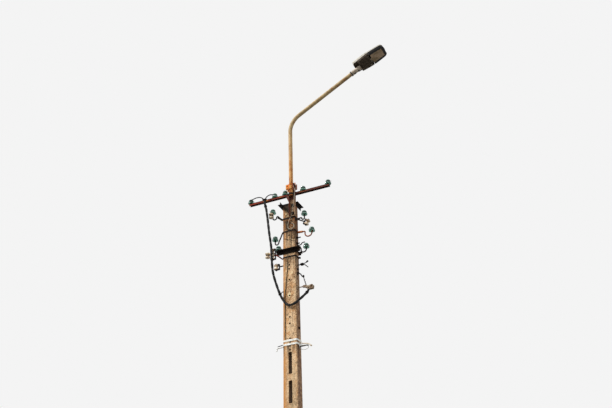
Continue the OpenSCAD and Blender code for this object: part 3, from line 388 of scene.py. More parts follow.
class Nodes:
    """Adds nodes to one tree. A value is a number, a colour, a web colour or the socket of another node."""

    def __init__(self, tree, output):
        self.tree = tree
        tree.nodes.clear()
        self.output = self.add(output)

    def add(self, kind, inputs=None, **settings):
        """One node with its settings, and with values for some inputs by name or number."""
        node = self.tree.nodes.new("ShaderNode" + kind)
        for key, value in settings.items():
            setattr(node, key, value)
        for key, value in (inputs or {}).items():
            self.feed(node, key, value)
        return node

    def feed(self, node, key, value):
        if isinstance(value, bpy.types.NodeSocket):
            self.tree.links.new(value, node.inputs[key])
        else:
            node.inputs[key].default_value = hex_colour(value) if isinstance(value, str) else value

    def ramp(self, value, low, high, a=0.0, b=1.0):
        """A straight change from a to b while the value goes from low to high, and level beyond them."""
        inputs = {"Value": value, "From Min": low, "From Max": high, "To Min": a, "To Max": b}
        return self.add("MapRange", inputs, clamp=True).outputs["Result"]

    def maths(self, kind, value, *others):
        """Several values taken together from left to right."""
        for other in others:
            value = self.add("Math", {0: value, 1: other}, operation=kind).outputs[0]
        return value

    times = partialmethod(maths, "MULTIPLY")
    plus = partialmethod(maths, "ADD")
    less = partialmethod(maths, "SUBTRACT")
    largest = partialmethod(maths, "MAXIMUM")

    def size(self, value):
        return self.maths("ABSOLUTE", value, 0)

    def mix(self, a, b, share):
        return self.add("Mix", {"Factor": share, 6: a, 7: b}, data_type="RGBA").outputs[2]

    def backdrop_share(self):
        """1 where the camera sees a surface directly, in a gloss or through glass."""
        ray = self.add("LightPath").outputs
        return self.largest(ray["Is Camera Ray"], ray["Is Glossy Ray"], ray["Is Transmission Ray"])


class Shader(Nodes):
    """One material: patterns on Object coordinates, and paints that are laid over each other."""

    def __init__(self, name):
        self.material = bpy.data.materials.get(name) or bpy.data.materials.new(name)
        self.material.use_nodes = True
        super().__init__(self.material.node_tree, "OutputMaterial")
        self.surface = self.add("BsdfPrincipled")
        self.feed(self.output, "Surface", self.surface.outputs[0])
        self.coords = self.add("TexCoord").outputs["Object"]
        self.colour = None

    def axes(self, matrix=None):
        """X, Y and Z of a point, in the object's frame or in a turned and shifted one."""
        vector = self.coords
        if matrix is not None:
            inputs = {"Vector": vector, "Location": matrix.to_translation(), "Rotation": matrix.to_euler()}
            vector = self.add("Mapping", inputs, vector_type="TEXTURE").outputs[0]
        return tuple(self.add("SeparateXYZ", {0: vector}).outputs)

    def noise(self, scale, detail=4.0, rough=0.55, stretch=None, warp=0.0):
        vector = self.coords
        if stretch:
            vector = self.add("Mapping", {"Vector": vector, "Scale": stretch}).outputs[0]
        inputs = {"Vector": vector, "Scale": scale, "Detail": detail, "Roughness": rough, "Distortion": warp}
        return self.add("TexNoise", inputs).outputs["Fac"]

    def cells(self, scale):
        return self.add("TexVoronoi", {"Vector": self.coords, "Scale": scale}).outputs["Distance"]

    def paint(self, colour, *shares):
        """Lays a colour over those before it, by the product of its shares. The first one covers all."""
        self.colour = self.mix(self.colour, colour, self.times(*shares)) if shares else colour

    def layer(self, colour, value, low, high, top=1):
        """A paint whose share goes from nothing to top while a value goes from low to high."""
        self.paint(colour, self.ramp(value, low, high, 0, top))

    def finish(self, rough, relief=None, distance=0.001, strength=0.5, shine=0.5, more=None):
        """Gives the surface its paint, roughness, shine and relief, and any more sockets by name."""
        values = {"Base Color": self.colour, "Roughness": rough, "Specular IOR Level": shine, **(more or {})}
        if relief is not None:
            inputs = {"Height": relief, "Distance": distance, "Strength": strength}
            values["Normal"] = self.add("Bump", inputs).outputs[0]
        for key, value in values.items():
            self.feed(self.surface, key, value)
        return self.material


def concrete_material():
    """Cast concrete: mottled, streaked and pitted, with drips, grime and a black patch at the head, reddish
    dirt and painted shade on the right flank, and painted shade in the bores.
    """
    c = look("concrete")
    s = Shader("weathered concrete")
    x, y, z = s.axes()
    patches = s.noise(6, 6, 0.6, (1, 1, 0.4), 0.5)
    blotches = s.noise(19, 5, 0.66, (1, 1, 0.6), 0.3)
    mottle = s.noise(34, 4, 0.62, (1, 1, 0.7), 0.2)
    streak = s.noise(34, 5, 0.62, (1, 1, 0.05), 0.15)
    long_streak = s.noise(15, 3, 0.5, (1, 1, 0.04))
    grain = s.noise(75, 5, 0.75)
    s.paint(c.middle)
    s.layer(c.pale, patches, 0.45, 0.58)
    s.layer(c.dark, patches, 0.46, 0.34, 0.7)
    s.layer(c.warm, blotches, 0.51, 0.6, 0.75)
    s.layer(c.moss, long_streak, 0.53, 0.62, 0.6)
    s.paint(c.stain, s.ramp(streak, 0.55, 0.7), c.streaks)
    s.layer(c.stain, mottle, 0.54, 0.66, 0.62)
    s.layer(c.pale, mottle, 0.46, 0.34, 0.75)
    s.layer(c.stain, grain, 0.52, 0.62, 0.75)
    s.layer("f0cda0", grain, 0.47, 0.38, 0.65)
    s.layer(c.dark, z, 7.2, 7.7, 0.15)
    s.layer(c.pale, z, 6.4, 5.9, 0.25)
    across = s.maths("DIVIDE", x, s.ramp(z, 0, POLE_H, BASE_W / 2, TOP_W / 2))
    s.paint(c.warm, s.ramp(across, -0.4, -0.8), s.ramp(blotches, 0.38, 0.52, 0.4, 0.9))
    # Reddish dirt and painted shade, in mottled patches, on the right flank that faces away from the key
    # light.
    s.paint(c.flank, s.ramp(across, 0.95, 1), s.ramp(mottle, 0.4, 0.56, 0.35, 0.85))
    for level, length in DRIP_LEVELS:
        below = s.times(s.ramp(z, level - length, level), s.ramp(z, level + 0.004, level))
        s.paint(c.stain, below, s.ramp(streak, 0.42, 0.56), 0.9)
    s.paint(c.grime, grime_at_head(s, x, z))
    s.paint(c.rust, s.ramp(z, 7.95, 8.45), s.ramp(blotches, 0.46, 0.56), 0.75)
    # A nearly black patch at the pole's head, left of the post, with a ragged edge.
    head = s.plus(z, s.times(blotches, 0.12), s.times(x, 1.1))
    s.paint(c.head_black, s.ramp(head, 8.37, 8.4), s.ramp(x, 0.05, 0.03), 0.95)
    for spot in LIME_SPOTS:
        s.paint(c.lime, pale_halo(s, x, y, z, *spot), 0.85)
    pores = s.times(s.ramp(s.cells(150), 0.14, 0.03), s.ramp(s.noise(26, 2), 0.48, 0.56))
    s.paint(c.stain, pores, 0.9)
    # Painted shade inside the bores: nearly black above DARK_BORES, a dark brown below it where their lit
    # sides show.
    bore_shade = s.mix("4e3826", "060504", s.ramp(z, DARK_BORES, DARK_BORES + 0.01))
    s.paint(bore_shade, inside_bores(s, x, y, z), s.ramp(z, DARK_BORES, DARK_BORES + 0.01, 0.75, 1))
    relief = s.less(s.plus(s.times(grain, 0.6), s.times(mottle, 0.6)), s.times(pores, 0.9))
    return s.finish(s.ramp(grain, 0.3, 0.7, 0.82, 0.97), relief, 0.006, 0.9, 0.25)


def grime_at_head(s, x, z):
    """Share of olive grime: thick between the two upper bands and right of the middle, with pale spots."""
    sideways = s.ramp(s.size(s.less(x, 0.012)), 0.085, 0.045, 0.5, 1)
    tangle = s.ramp(s.noise(22, 6, 0.75, None, 1.5), 0.41, 0.47)
    return s.times(s.ramp(z, 7.98, 8.04), s.ramp(z, 8.44, 8.25), sideways, tangle)


def pale_halo(s, x, y, z, side, level, size):
    """A diamond of lime on the front face: the weighted sum of the distances from its middle and level."""
    away = s.plus(s.times(s.size(s.less(x, side)), 1.8), s.size(s.less(z, level)))
    return s.times(s.ramp(away, size, 0.65 * size), s.ramp(y, -0.03, -0.05))


def inside_bores(s, x, y, z):
    """1 where a point lies deeper than either wide face and near the pole's middle line: inside the bores,
    where shade is painted.
    """
    deep = s.less(s.ramp(z, 0, POLE_H, BASE_D / 2, TOP_D / 2), s.size(y))
    return s.times(s.ramp(deep, 0.0006, 0.002), s.ramp(s.size(x), 0.05, 0.04))


def rusty_material(name, paint, worn, rust, dark, rust_from, rough, scale, shine):
    """Painted steel whose paint has gone dull, with rust in patches and old dark rust in their middle."""
    s = Shader(name)
    wear = s.noise(9 * scale, 6, 0.65, None, 0.5)
    spots = s.noise(38 * scale, 5, 0.7)
    fine = s.noise(180, 3, 0.6)
    patch = s.plus(s.times(wear, 0.55), s.times(spots, 0.45))
    rusted = s.ramp(patch, rust_from, rust_from + 0.07)
    s.paint(paint)
    s.layer(worn, wear, 0.4, 0.62)
    s.paint(rust, rusted)
    s.layer(dark, patch, rust_from + 0.05, rust_from + 0.14)
    s.layer(dark, fine, 0.58, 0.75, 0.4)
    relief = s.plus(s.times(rusted, 0.5), s.times(fine, 0.3))
    return s.finish(s.ramp(rusted, 0, 1, rough, 0.92), relief, 0.0012, 0.8, shine)


def plain_material(name, pale, dark, rough, scale=30, relief=0.001, metal=0.0, shine=0.5):
    """Two close colours in fine patches, with a matching change of roughness and relief."""
    s = Shader(name)
    patch = s.noise(scale, 5, 0.62)
    s.paint(pale)
    s.layer(dark, patch, 0.42, 0.66)
    rough = s.ramp(patch, 0.35, 0.7, rough, rough + 0.22)
    return s.finish(rough, patch, relief, 0.5, shine, {"Metallic": metal})


# Colours of the steel's settings by name, or web colours: paint, worn paint, rust and old rust. Then the
# patch value that rust starts at, the roughness, the fineness and the shine
RUSTY = {
    "dark iron": ("iron", "1d1612", "472a19", "rust_dark", 0.58, 0.75, 2.0, 0.12),
    "dull zinc": ("zinc", "6a5a46", "6e4a2e", "rust_dark", 0.5, 0.6, 2.6, 0.3),
    "dirty bar": ("17120e", "2c221a", "6a5234", "4a3826", 0.56, 0.8, 1.6, 0.12),
    "rusty hook": ("a8562a", "4a2c1c", "rust", "rust_dark", 0.54, 0.8, 1.2, 0.2),
    "rusty sleeve": ("d07a33", "b4622a", "rust", "rust_dark", 0.6, 0.8, 1.5, 0.2),
    "red hook": ("oxide", "5b2b22", "rust", "rust_dark", 0.6, 0.75, 1.5, 0.2),
    "tan rod": ("e6d6ba", "c9ad88", "8d5f3c", "4c3626", 0.58, 0.7, 2.0, 0.2),
}
# Pale and dark colour, roughness, fineness, relief, metal and shine
PLAIN = {
    "white coating": ("white", "cbc6b8", 0.5, 26),
    "olive wire": ("5d5542", "37301f", 0.7, 60, 0.0004, 0, 0.2),
    "sleeve enamel": ("d3c3ae", "8b7a64", 0.5, 22),
    "gear cover": ("54483a", "2a231a", 0.7, 40, 0.001, 0, 0.2),
    "reflector": ("a9a7a0", "8a867c", 0.4, 40, 0.0004, 0.7),
    "bulb": ("f2f0e8", "dedbd0", 0.2, 40, 0.0002),
    "dark fitting": ("1b1713", "2c251e", 0.6, 60, 0.001, 0, 0.3),
    "zinc screw": ("8b8375", "5a5246", 0.4, 80, 0.0003, 0.8),
}


def finish(name):
    """The material that a name stands for in the two tables."""
    make, row = (rusty_material, RUSTY[name]) if name in RUSTY else (plain_material, PLAIN[name])
    return make(name, *(getattr(look("steel"), v, v) if isinstance(v, str) else v for v in row))


def crossarm_material():
    """Oxide paint, red on the left and brown on the right, with painted shade as nearly black bands along the
    top and bottom edges, and rust along the left half.
    """
    c = look("steel")
    s = Shader("red oxide crossarm")
    x, _, z = s.axes()
    wear = s.noise(8, 6, 0.65, None, 0.5)
    spots = s.noise(30, 5, 0.7, (0.5, 1, 1))
    rusty = s.times(s.ramp(spots, 0.53, 0.6), s.ramp(x, 0.25, -0.05, 0.35, 1))
    top_edge_shade = s.ramp(z, ARM_TOP - 0.013, ARM_TOP - 0.007)
    low_edge_shade = s.ramp(z, ARM_TOP - ARM_H + 0.01, ARM_TOP - ARM_H + 0.006)
    s.paint(c.oxide)
    s.paint(c.oxide_worn, s.plus(s.ramp(x, -0.1, 0.3), s.times(s.ramp(wear, 0.42, 0.6), 0.5)))
    s.paint(c.rust, rusty)
    s.paint(c.rust_pale, rusty, s.ramp(wear, 0.52, 0.6))
    # Painted shade: nearly black bands along the top and bottom edges.
    s.paint("160d09", s.largest(top_edge_shade, low_edge_shade), 0.92)
    return s.finish(s.ramp(spots, 0.4, 0.65, 0.75, 0.95), s.plus(spots, s.times(wear, 0.5)), 0.0015, 0.7, 0.1)


def post_material():
    """Oxide gone brown, pinkish above the crossarm, with tan dust on the channel's web below the tube."""
    c = look("steel")
    s = Shader("post paint")
    x, y, z = s.axes()
    wear = s.noise(14, 6, 0.66, None, 0.4)
    runs = s.noise(40, 5, 0.6, (1, 1, 0.12))
    web = s.largest(s.ramp(y, -0.068, -0.064), s.ramp(x, 0.1, 0.104))
    s.paint("5b2f26")
    s.layer(c.oxide_worn, wear, 0.42, 0.6)
    s.paint("b08a80", s.ramp(z, 8.655, 8.675), s.ramp(wear, 0.6, 0.42))
    s.paint(s.mix("b08f6c", "6f5640", s.ramp(runs, 0.44, 0.62)), web, s.ramp(z, 8.56, 8.5))
    s.layer(c.rust, runs, 0.57, 0.66, 0.7)
    s.layer(c.rust_dark, wear, 0.57, 0.7, 0.8)
    return s.finish(s.ramp(wear, 0.4, 0.65, 0.7, 0.92), s.plus(wear, s.times(runs, 0.5)), 0.0015, 0.7, 0.25)


def collar_material():
    """Bright orange rust with a yellow bloom on the left ear, brown on the right."""
    c = look("steel")
    s = Shader("orange rust")
    x, _, _ = s.axes()
    wear = s.noise(22, 6, 0.66, None, 0.5)
    fine = s.noise(150, 4, 0.6)
    middle = s.ramp(s.size(s.less(x, COLLAR_X + 0.004)), 0.024, 0.014)
    s.paint("e07434")
    s.layer(c.rust, wear, 0.46, 0.62)
    s.paint("eba552", s.ramp(x, 0.04, 0), s.ramp(wear, 0.6, 0.44))
    s.paint("c9a05c", middle, s.ramp(wear, 0.62, 0.42))
    s.layer("b58f80", x, 0.088, 0.104, 0.75)
    s.layer(c.rust_dark, wear, 0.57, 0.66, 0.85)
    s.layer(c.rust_dark, fine, 0.56, 0.74, 0.4)
    return s.finish(s.ramp(wear, 0.4, 0.6, 0.8, 0.96), s.plus(wear, s.times(fine, 0.4)), 0.0015, 0.8, 0.2)


def tube_material():
    """Cream paint with rust that runs down the tube, orange near the collar and brown in patches above."""
    c = look("steel")
    s = Shader("cream paint on the lamp tube")
    _, _, z = s.axes()
    runs = s.noise(34, 5, 0.65, (1, 1, 0.1))
    patches = s.noise(9, 6, 0.62, None, 0.6)
    spots = s.noise(85, 4, 0.7)
    score = s.plus(s.times(runs, 0.55), s.times(patches, 0.45), s.times(s.ramp(z, 9.35, 8.75), 0.1))
    s.paint(c.cream)
    s.layer("957c55", patches, 0.44, 0.6, 0.8)
    s.paint("d8933f", s.ramp(z, 9.75, 8.95), 0.65)
    s.layer(c.rust, score, 0.55, 0.63)
    s.layer(c.rust_dark, score, 0.61, 0.7, 0.85)
    s.layer("6d5434", spots, 0.54, 0.72, 0.5)
    rough = s.ramp(score, 0.5, 0.62, 0.55, 0.9)
    return s.finish(rough, s.plus(score, s.times(spots, 0.25)), 0.0015, 0.8, 0.3)


def glass_material():
    """Pressed green glass with faint waves, grey dust on its surface and a clear gloss."""
    s = Shader("green pressed glass")
    dust = s.noise(55, 5, 0.65)
    s.paint(look("glass").green)
    s.layer("5f8474", dust, 0.46, 0.62)
    more = {"Transmission Weight": s.ramp(dust, 0.46, 0.66, 0.9, 0.5), "IOR": 1.5}
    return s.finish(s.ramp(dust, 0.45, 0.7, 0.03, 0.35), s.noise(30, 2), 0.001, 0.3, more=more)


def porcelain_material():
    """Cream glaze with brown grime in patches, drawn out a little upright."""
    s = Shader("cream porcelain")
    grime = s.noise(26, 5, 0.66, (1, 1, 0.6))
    s.paint(look("glass").cream)
    s.layer("c07f48", grime, 0.46, 0.56, 0.8)
    s.layer("3a281a", grime, 0.52, 0.6, 0.9)
    return s.finish(s.ramp(grime, 0.45, 0.65, 0.2, 0.6), s.noise(90, 3), 0.0006, 0.4)


def cable_material():
    """Black insulation, chalky on patches where the sun has worked on it."""
    s = Shader("black insulation")
    chalk = s.noise(24, 4, 0.6)
    s.paint(look("cable").black)
    s.layer("2e2c2a", chalk, 0.5, 0.68)
    return s.finish(s.ramp(chalk, 0.4, 0.7, 0.5, 0.8), s.noise(260, 3), 0.0004, 0.5, 0.2)


def supply_material():
    """Grey sheath, faded and streaked with dirt."""
    s = Shader("grey sheath")
    dirt = s.noise(40, 4, 0.6, (1, 1, 0.3))
    s.paint(look("cable").grey)
    s.layer("55503f", dirt, 0.45, 0.66)
    return s.finish(s.ramp(dirt, 0.4, 0.7, 0.5, 0.8), dirt, 0.0004)


def bowl_material():
    """Dusty brown clear plastic in a nearly black band along its edges and round its nose: a dark frame, and
    painted shade of the canopy's shaded side.
    """
    s = Shader("dusty bowl")
    run, across, _ = s.axes(LAMP_FRAME)
    edge = s.less(s.ramp(run, 0.29, 0.47, 0.134, 0.121), s.size(across))
    # A dark frame and painted shade: a nearly black band along the edges and round the nose.
    dark = s.largest(s.ramp(edge, 0.044, 0.038), s.ramp(run, LAMP_L - 0.05, LAMP_L - 0.044))
    dust = s.noise(12, 4, 0.55)
    s.paint(look("glass").bowl)
    s.layer("95805f", dust, 0.42, 0.62)
    s.paint("0e0b08", dark)
    more = {"Transmission Weight": s.ramp(dark, 0, 1, 0.1, 0), "IOR": 1.49}
    return s.finish(s.ramp(dust, 0.4, 0.7, 0.3, 0.5), dust, 0.0008, 0.3, 0.15, more)


def canopy_material():
    """Cream enamel, dusty on top, with painted shade: a dark line along a pressed line on its side, and a
    dark band along its lower edge.
    """
    s = Shader("lamp enamel")
    _, _, level = s.axes(LAMP_FRAME)
    dust = s.noise(16, 5, 0.62)
    s.paint(look("steel").housing)
    s.layer("a89c84", dust, 0.44, 0.66, 0.8)
    # Painted shade: a dark line where a pressed line runs along the side.
    s.paint("4c4234", s.ramp(level, 0.013, 0.016), s.ramp(level, 0.023, 0.02), 0.8)
    # Painted shade: the lowest few millimetres, under the rim, go dark.
    s.layer("2b251e", level, 0.004, 0.001)
    return s.finish(s.ramp(dust, 0.35, 0.7, 0.4, 0.65), dust)


# Shapes of this pole's own pieces

def lamp_half(s):
    """Half the housing's width at a share of its length: a cosine swell to the middle, a slow loss of a
    sixth to the front, and cubic curves that draw in the nose and the tail."""
    nose = np.where(s > 0.86, np.cbrt(np.maximum(0, 1 - ((s - 0.86) / 0.14) ** 3)), 1)
    tail = np.where(s < 0.06, np.cbrt(np.maximum(0, 1 - ((0.06 - s) / 0.06) ** 3)), 1)
    rear = 0.8 + 0.2 * (0.5 - 0.5 * np.cos(2 * math.pi * s))
    front = 1 - 0.16 * (np.maximum(0, s - 0.5) / 0.5) ** 1.5
    swell = np.where(s < 0.5, rear, front)
    return LAMP_W / 2 * swell * (0.08 + 0.92 * nose) * (0.5 + 0.5 * tail)


def glass_shape(segments):
    """Bell of glass: bore, skirts, rim, wire groove and dome, as one eased profile spun round Z."""
    r, h, b = GLASS_R, GLASS_H, BORE_R
    inner = [(b, 0.006), (b + 0.001, 0.0045), (b + 0.005, 0.0045), (b + 0.0065, 0.007), (b + 0.008, 0.016),
             (r - 0.014, 0.0165), (r - 0.010, 0.008), (r - 0.007, 0.001), (r - 0.0055, 0.0)]
    outer = [(r - 0.0015, 0.0), (r, 0.003), (r - 0.0005, 0.012), (r - 0.004, 0.020), (r - 0.010, 0.026),
             (NECK_R, NECK_Z), (r - 0.012, 0.036), (r - 0.010, 0.041), (r - 0.012, 0.050), (r - 0.017, 0.058),
             (r - 0.026, 0.064), (r - 0.036, h), (0.003, h)]
    outer_line = smooth_line(np.array(inner + outer), 4)
    return turned(np.vstack([[(b, BORE_H)], outer_line]), segments)


def spool_shape(segments):
    """Spool round a bore: two rounded flanges and a wire groove, as a closed profile spun round Z."""
    r, h, b, g = SPOOL_R, SPOOL_H / 2, SPOOL_BORE_R, SPOOL_GROOVE_R
    lower = [(b + 0.003, -h), (r - 0.006, -h), (r - 0.001, 0.003 - h), (r, 0.009 - h), (r - 0.001, 0.017 - h),
             (r - 0.007, 0.024 - h), (g + 0.001, -0.010), (g, -0.005)]
    upper = [(radius, -level) for radius, level in reversed(lower)]
    return turned(np.vstack([[(b, 0.002 - h)], smooth_line(np.array(lower + upper), 4), [(b, h - 0.002)]]),
                  segments, ring=True)


def binding(place, turned_by, turns=4, wire=0.0042):
    """Wire wound in a glass's neck: a helix one wire apart, whose ends run out on its tangent and droop."""
    turn = np.linspace(0, 2 * math.pi * turns, 26 * turns) + turned_by
    r = NECK_R + wire / 2
    climb = (np.arange(len(turn)) / (len(turn) - 1) - 0.5) * wire * turns
    helix = np.stack([r * np.cos(turn), r * np.sin(turn), NECK_Z + climb], axis=1)
    out = np.linspace(0.004, 0.034, 8)[:, None]
    ends = []
    for tip, way in ((0, -1), (-1, 1)):
        tangent = way * np.array([-math.sin(turn[tip]), math.cos(turn[tip]), 0.0])
        radial = np.array([math.cos(turn[tip]), math.sin(turn[tip]), 0.0])
        ends.append(helix[tip] + out * tangent + 6 * out ** 2 * radial - 5 * out ** 2 * np.array([0, 0, 1.0]))
    path = np.vstack([ends[0][::-1], helix, ends[1]]) + np.array(place)
    return tube(path, wire / 2, 7)


def chain(start, end, count, wire=0.0035):
    """Links in a row: each is a round wire bent to an oval, and every second one is turned a quarter."""
    start, end = np.array(start), np.array(end)
    pitch = np.linalg.norm(end - start) / count
    turn = full_turn(20)
    oval = np.stack([0.32 * pitch * np.cos(turn), np.zeros(20), (0.62 * pitch) * np.sin(turn)], axis=1)
    inward = oval / np.linalg.norm(oval, axis=1, keepdims=True)
    ring = full_turn(8)
    rounds = (oval[:, None, :] + wire * np.cos(ring)[None, :, None] * inward[:, None, :]
              + wire * np.sin(ring)[None, :, None] * np.array([0, 1.0, 0]))
    link = Shape(rounds.reshape(-1, 3), [grid_faces(20, 8, loop=True)])
    links = []
    for k in range(count):
        place = start + (k + 0.5) / count * (end - start)
        links.append(link.moved(along(end - start, place) @ Matrix.Rotation(k * math.pi / 2, 4, "Z")))
    return joined(links)


# Pieces

CABLE_ROUTE = [
    (264, -13, 7081.9), (264, -13, 7074), (258, -18, 7052), (236, -34, 7018), (196, -60, 6966),
    (158, -80, 6926), (120, -93, 6890), (75, -98, 6868), (20, -99, 6860), (-35, -99, 6890), (-85, -101, 6965),
    (-125, -104, 7050), (-168, -115, 7182), (-203, -132, 7321), (-223, -138, 7440), (-232, -143, 7600),
    (-238, -150, 7801), (-266, -152, 8014), (-284, -155, 8195), (-303, -150, 8342), (-329, -128, 8458),
    (-362, -103, 8560), (-369, -99, 8590), (-369, -99, 8603),
]
CORE_ROUTES = {
    "cable_core_left": [
        (-377.5, -99, 8604.1), (-377.5, -99, 8614), (-384, -98, 8640), (-400, -97, 8668), (-445, -96, 8700),
        (-510, -92, 8712), (-575, -84, 8706), (-622, -80, 8701)],
    "cable_core_right": [
        (-360.5, -99, 8604.1), (-360.5, -99, 8614), (-358, -99, 8636), (-349, -99, 8664), (-318, -97, 8692),
        (-284, -90, 8704), (-258, -82, 8703), (-238, -79, 8701)],
}
SUPPLY_ROUTE = [
    (134, -115.5, 8696.6), (134, -116, 8684), (132, -115, 8640), (123, -112, 8580), (112, -104, 8525),
    (100, -94, 8465), (84, -86, 8400), (72, -84, 8340), (64, -83, 8286), (44, -78, 8250), (16, -71, 8216),
    (-4, -68, 8160), (-10, -67.5, 8108), (4, -68.5, 8070), (38, -70, 8056.5), (72, -69, 8070),
    (86, -67.5, 8104), (73, -66, 8138), (44, -65, 8151),
]
EARTH_ROUTE = [
    (-10, -80, 7668), (-14, -72, 7632), (-24, -68, 7550), (-29, -68.5, 7410), (-43, -69, 7280),
    (-52, -70, 7165), (-60, -70.5, 7084), (-65, -71, 6990), (-66, -71.5, 6880), (-67, -72.5, 6770),
    (-67, -73, 6650), (-67, -74, 6550), (-67, -76, 6450), (-67, -77.5, 6384),
]


def twisted(path, count, bundle, core, lay):
    """Cores round a path: each centre is the path plus an offset that turns once in each lay's length."""
    side, other = path_frames(path)
    turn = 2 * math.pi * run_along(path) / lay
    away = (bundle - core) / 2
    shapes = []
    for k in range(count):
        angle = (turn + 2 * math.pi * k / count)[:, None]
        centre = path + away * (np.cos(angle) * side + np.sin(angle) * other)
        shapes.append(tube(centre, core / 2, 10))
    return joined(shapes)


def cord(name, route, material, shape_along, step=0.006):
    """One free cord along its route in millimetres, eased through the route's points."""
    line = evenly(smooth_line(np.array(route) / 1000, 12), step)
    piece = make_piece(name, shape_along(line), material)
    return piece


class POLE_OT_cable(bpy.types.Operator):
    """The bundled cable: cores twisted round the route from strain clamp to crossarm, and two ends."""
    bl_idname = "pole.cable"
    bl_label = "Cable"

    def execute(self, context):
        c = look("cable")
        black = cable_material()
        loop = cord("bundled_cable", CABLE_ROUTE, black,
                    lambda line: twisted(line, c.cores, c.bundle, c.strand, c.lay), 0.012)
        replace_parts(loop, "cable_loop")
        cores = [cord(name, route, black, lambda line: tube(line, c.core / 2, 14))
                 for name, route in CORE_ROUTES.items()]
        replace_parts(cores[0], "cable_cores")
        cord("supply_cable", SUPPLY_ROUTE, supply_material(), lambda line: tube(line, c.supply / 2))
        cord("earth_wire", EARTH_ROUTE, finish("olive wire"), lambda line: tube(line, c.earth / 2))
        return {"FINISHED"}


class POLE_OT_concrete(bpy.types.Operator):
    """The concrete pole's finish."""
    bl_idname = "pole.concrete"
    bl_label = "Concrete"

    def execute(self, context):
        dress(concrete_material(), "concrete_pole")
        return {"FINISHED"}


STEEL_NODES = {
    "dark iron": (
        "post_clamps", "side_bar_left", "side_bar_right", "head_ties", "line_pins", "hook_bands",
        "clamp_bolts", "hook_upper_left", "hook_upper_right", "hook_middle_left", "hook_lower_right",
        "clamp_bar_pin", "spool_irons", "hinge_pin"),
    "dull zinc": ("strain_hook", "strain_clamp"),
    "dirty bar": ("clamp_bar_front", "clamp_bar_back"),
    "rusty hook": ("hook_middle_right",),
    "white coating": ("white_bands", "white_hook_right", "white_arm_left"),
}


class POLE_OT_steelwork(bpy.types.Operator):
    """Paint, rust and coating on every steel piece."""
    bl_idname = "pole.steelwork"
    bl_label = "Steelwork"

    def execute(self, context):
        for name, nodes in STEEL_NODES.items():
            dress(finish(name), *nodes)
        dress(crossarm_material(), "crossarm")
        dress(post_material(), "head_post", "post_gusset")
        dress(collar_material(), "arm_collar")
        dress(tube_material(), "lamp_arm")
        return {"FINISHED"}


class POLE_OT_glass(bpy.types.Operator):
    """Glass insulators and porcelain spools."""
    bl_idname = "pole.glass"
    bl_label = "Glass and porcelain"

    def execute(self, context):
        sides = look("glass").segments
        green, cream = glass_material(), porcelain_material()
        bell, spool = glass_shape(sides), spool_shape(sides)
        rows = [(f"line_glass_{n}", f"line_insulator_{n}", [place]) for n, place in enumerate(LINE_GLASS, 1)]
        rows += [(f"hook_glass_{side}", f"hook_insulators_{side}", places)
                 for side, places in HOOK_GLASS.items()]
        for name, node, places in rows:
            bells = joined([bell.shifted(place) for place in places])
            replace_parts(make_piece(name, bells, green, edge=50), node)
        spools = joined([spool.shifted(place) for place in LEFT_SPOOLS])
        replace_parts(make_piece("porcelain_left", spools, cream), "spools_left")
        tilted = spool.moved(Matrix.Translation(RIGHT_SPOOL) @ Matrix.Rotation(SPOOL_TILT, 4, "Y"))
        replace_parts(make_piece("porcelain_right", tilted, cream), "spool_right")
        places = LINE_GLASS + HOOK_GLASS["left"] + HOOK_GLASS["right"]
        wires = [binding(place, turned_by=1.9 * k) for k, place in enumerate(places)]
        make_piece("wire_bindings", joined(wires), cable_material())
        return {"FINISHED"}


# The record's slot of each finish that the small ironwork has
IRONWORK_SLOTS = {
    "dark iron": "dark_iron", "dull zinc": "dark_iron", "rusty sleeve": "rusty_iron",
    "red hook": "red_oxide_steel", "white coating": "white_coat", "tan rod": "white_coat",
}


def tie_wires():
    """Thin wires on the front face: one round the pole, one down from the middle band, one bent square."""
    def on_face(x, z, lift=0.0022):
        return (x, -pole_half_depth(z) - lift, z)
    corner = pole_half_width(7.85)
    across = [on_face(x, 7.895 - 0.42 * x) for x in np.linspace(-0.088, 0.088, 9)]
    across += [(corner + 0.001, -0.054, 7.853)]
    across += [(corner + 0.0025, -0.03, 7.842), (corner + 0.0025, 0.03, 7.822)]
    down = [on_face(0.043 - 0.001 * k, 8.022 - 0.028 * k) for k in range(10)]
    bent = [on_face(*p) for p in ((0.046, 8.018), (0.046, 7.985), (0.047, 7.93), (0.055, 7.905),
                                  (0.082, 7.902), (0.087, 7.912), (0.088, 7.96), (0.088, 7.972))]
    return [rod(across, 0.002, 4, 8), rod(down, 0.003, 4, 8), rod(bent, 0.003, 6, 8)]


def buckles():
    """Each dark band's two ears on the right flank, drawn together by a bolt."""
    shapes = []
    for z in BAND_LEVELS:
        face = pole_half_width(z - 0.01) + BAND_GROWTH
        for y in (0.034, 0.048):
            shapes.append(block((face - 0.001, y - 0.0025, z - 0.01), (face + 0.026, y + 0.0025, z + 0.01)))
        for hand, y, tail in ((-1, 0.0315, 0.006), (1, 0.0505, 0.002)):
            shapes.append(bolt_end(0.01, tail, (0, hand, 0), (face + 0.015, y, z)))
    return shapes


def pegs():
    """Bolts that stand out of the right flank, by height, reach and thread, and four at the back."""
    shapes = [bolt_end(thread, reach - 0.96 * thread, (1, 0, 0), (pole_half_width(z), 0, z))
              for z, reach, thread in ((7.929, 0.06, 0.018), (7.838, 0.044, 0.018), (7.428, 0.022, 0.016),
                                       (7.374, 0.024, 0.016), (6.545, 0.014, 0.016))]
    return shapes + [bolt_end(0.018, 0.012, (0, 1, 0), (0, pole_half_depth(z), z))
                     for z in (7.97, 7.4635, 6.703, 6.337)]


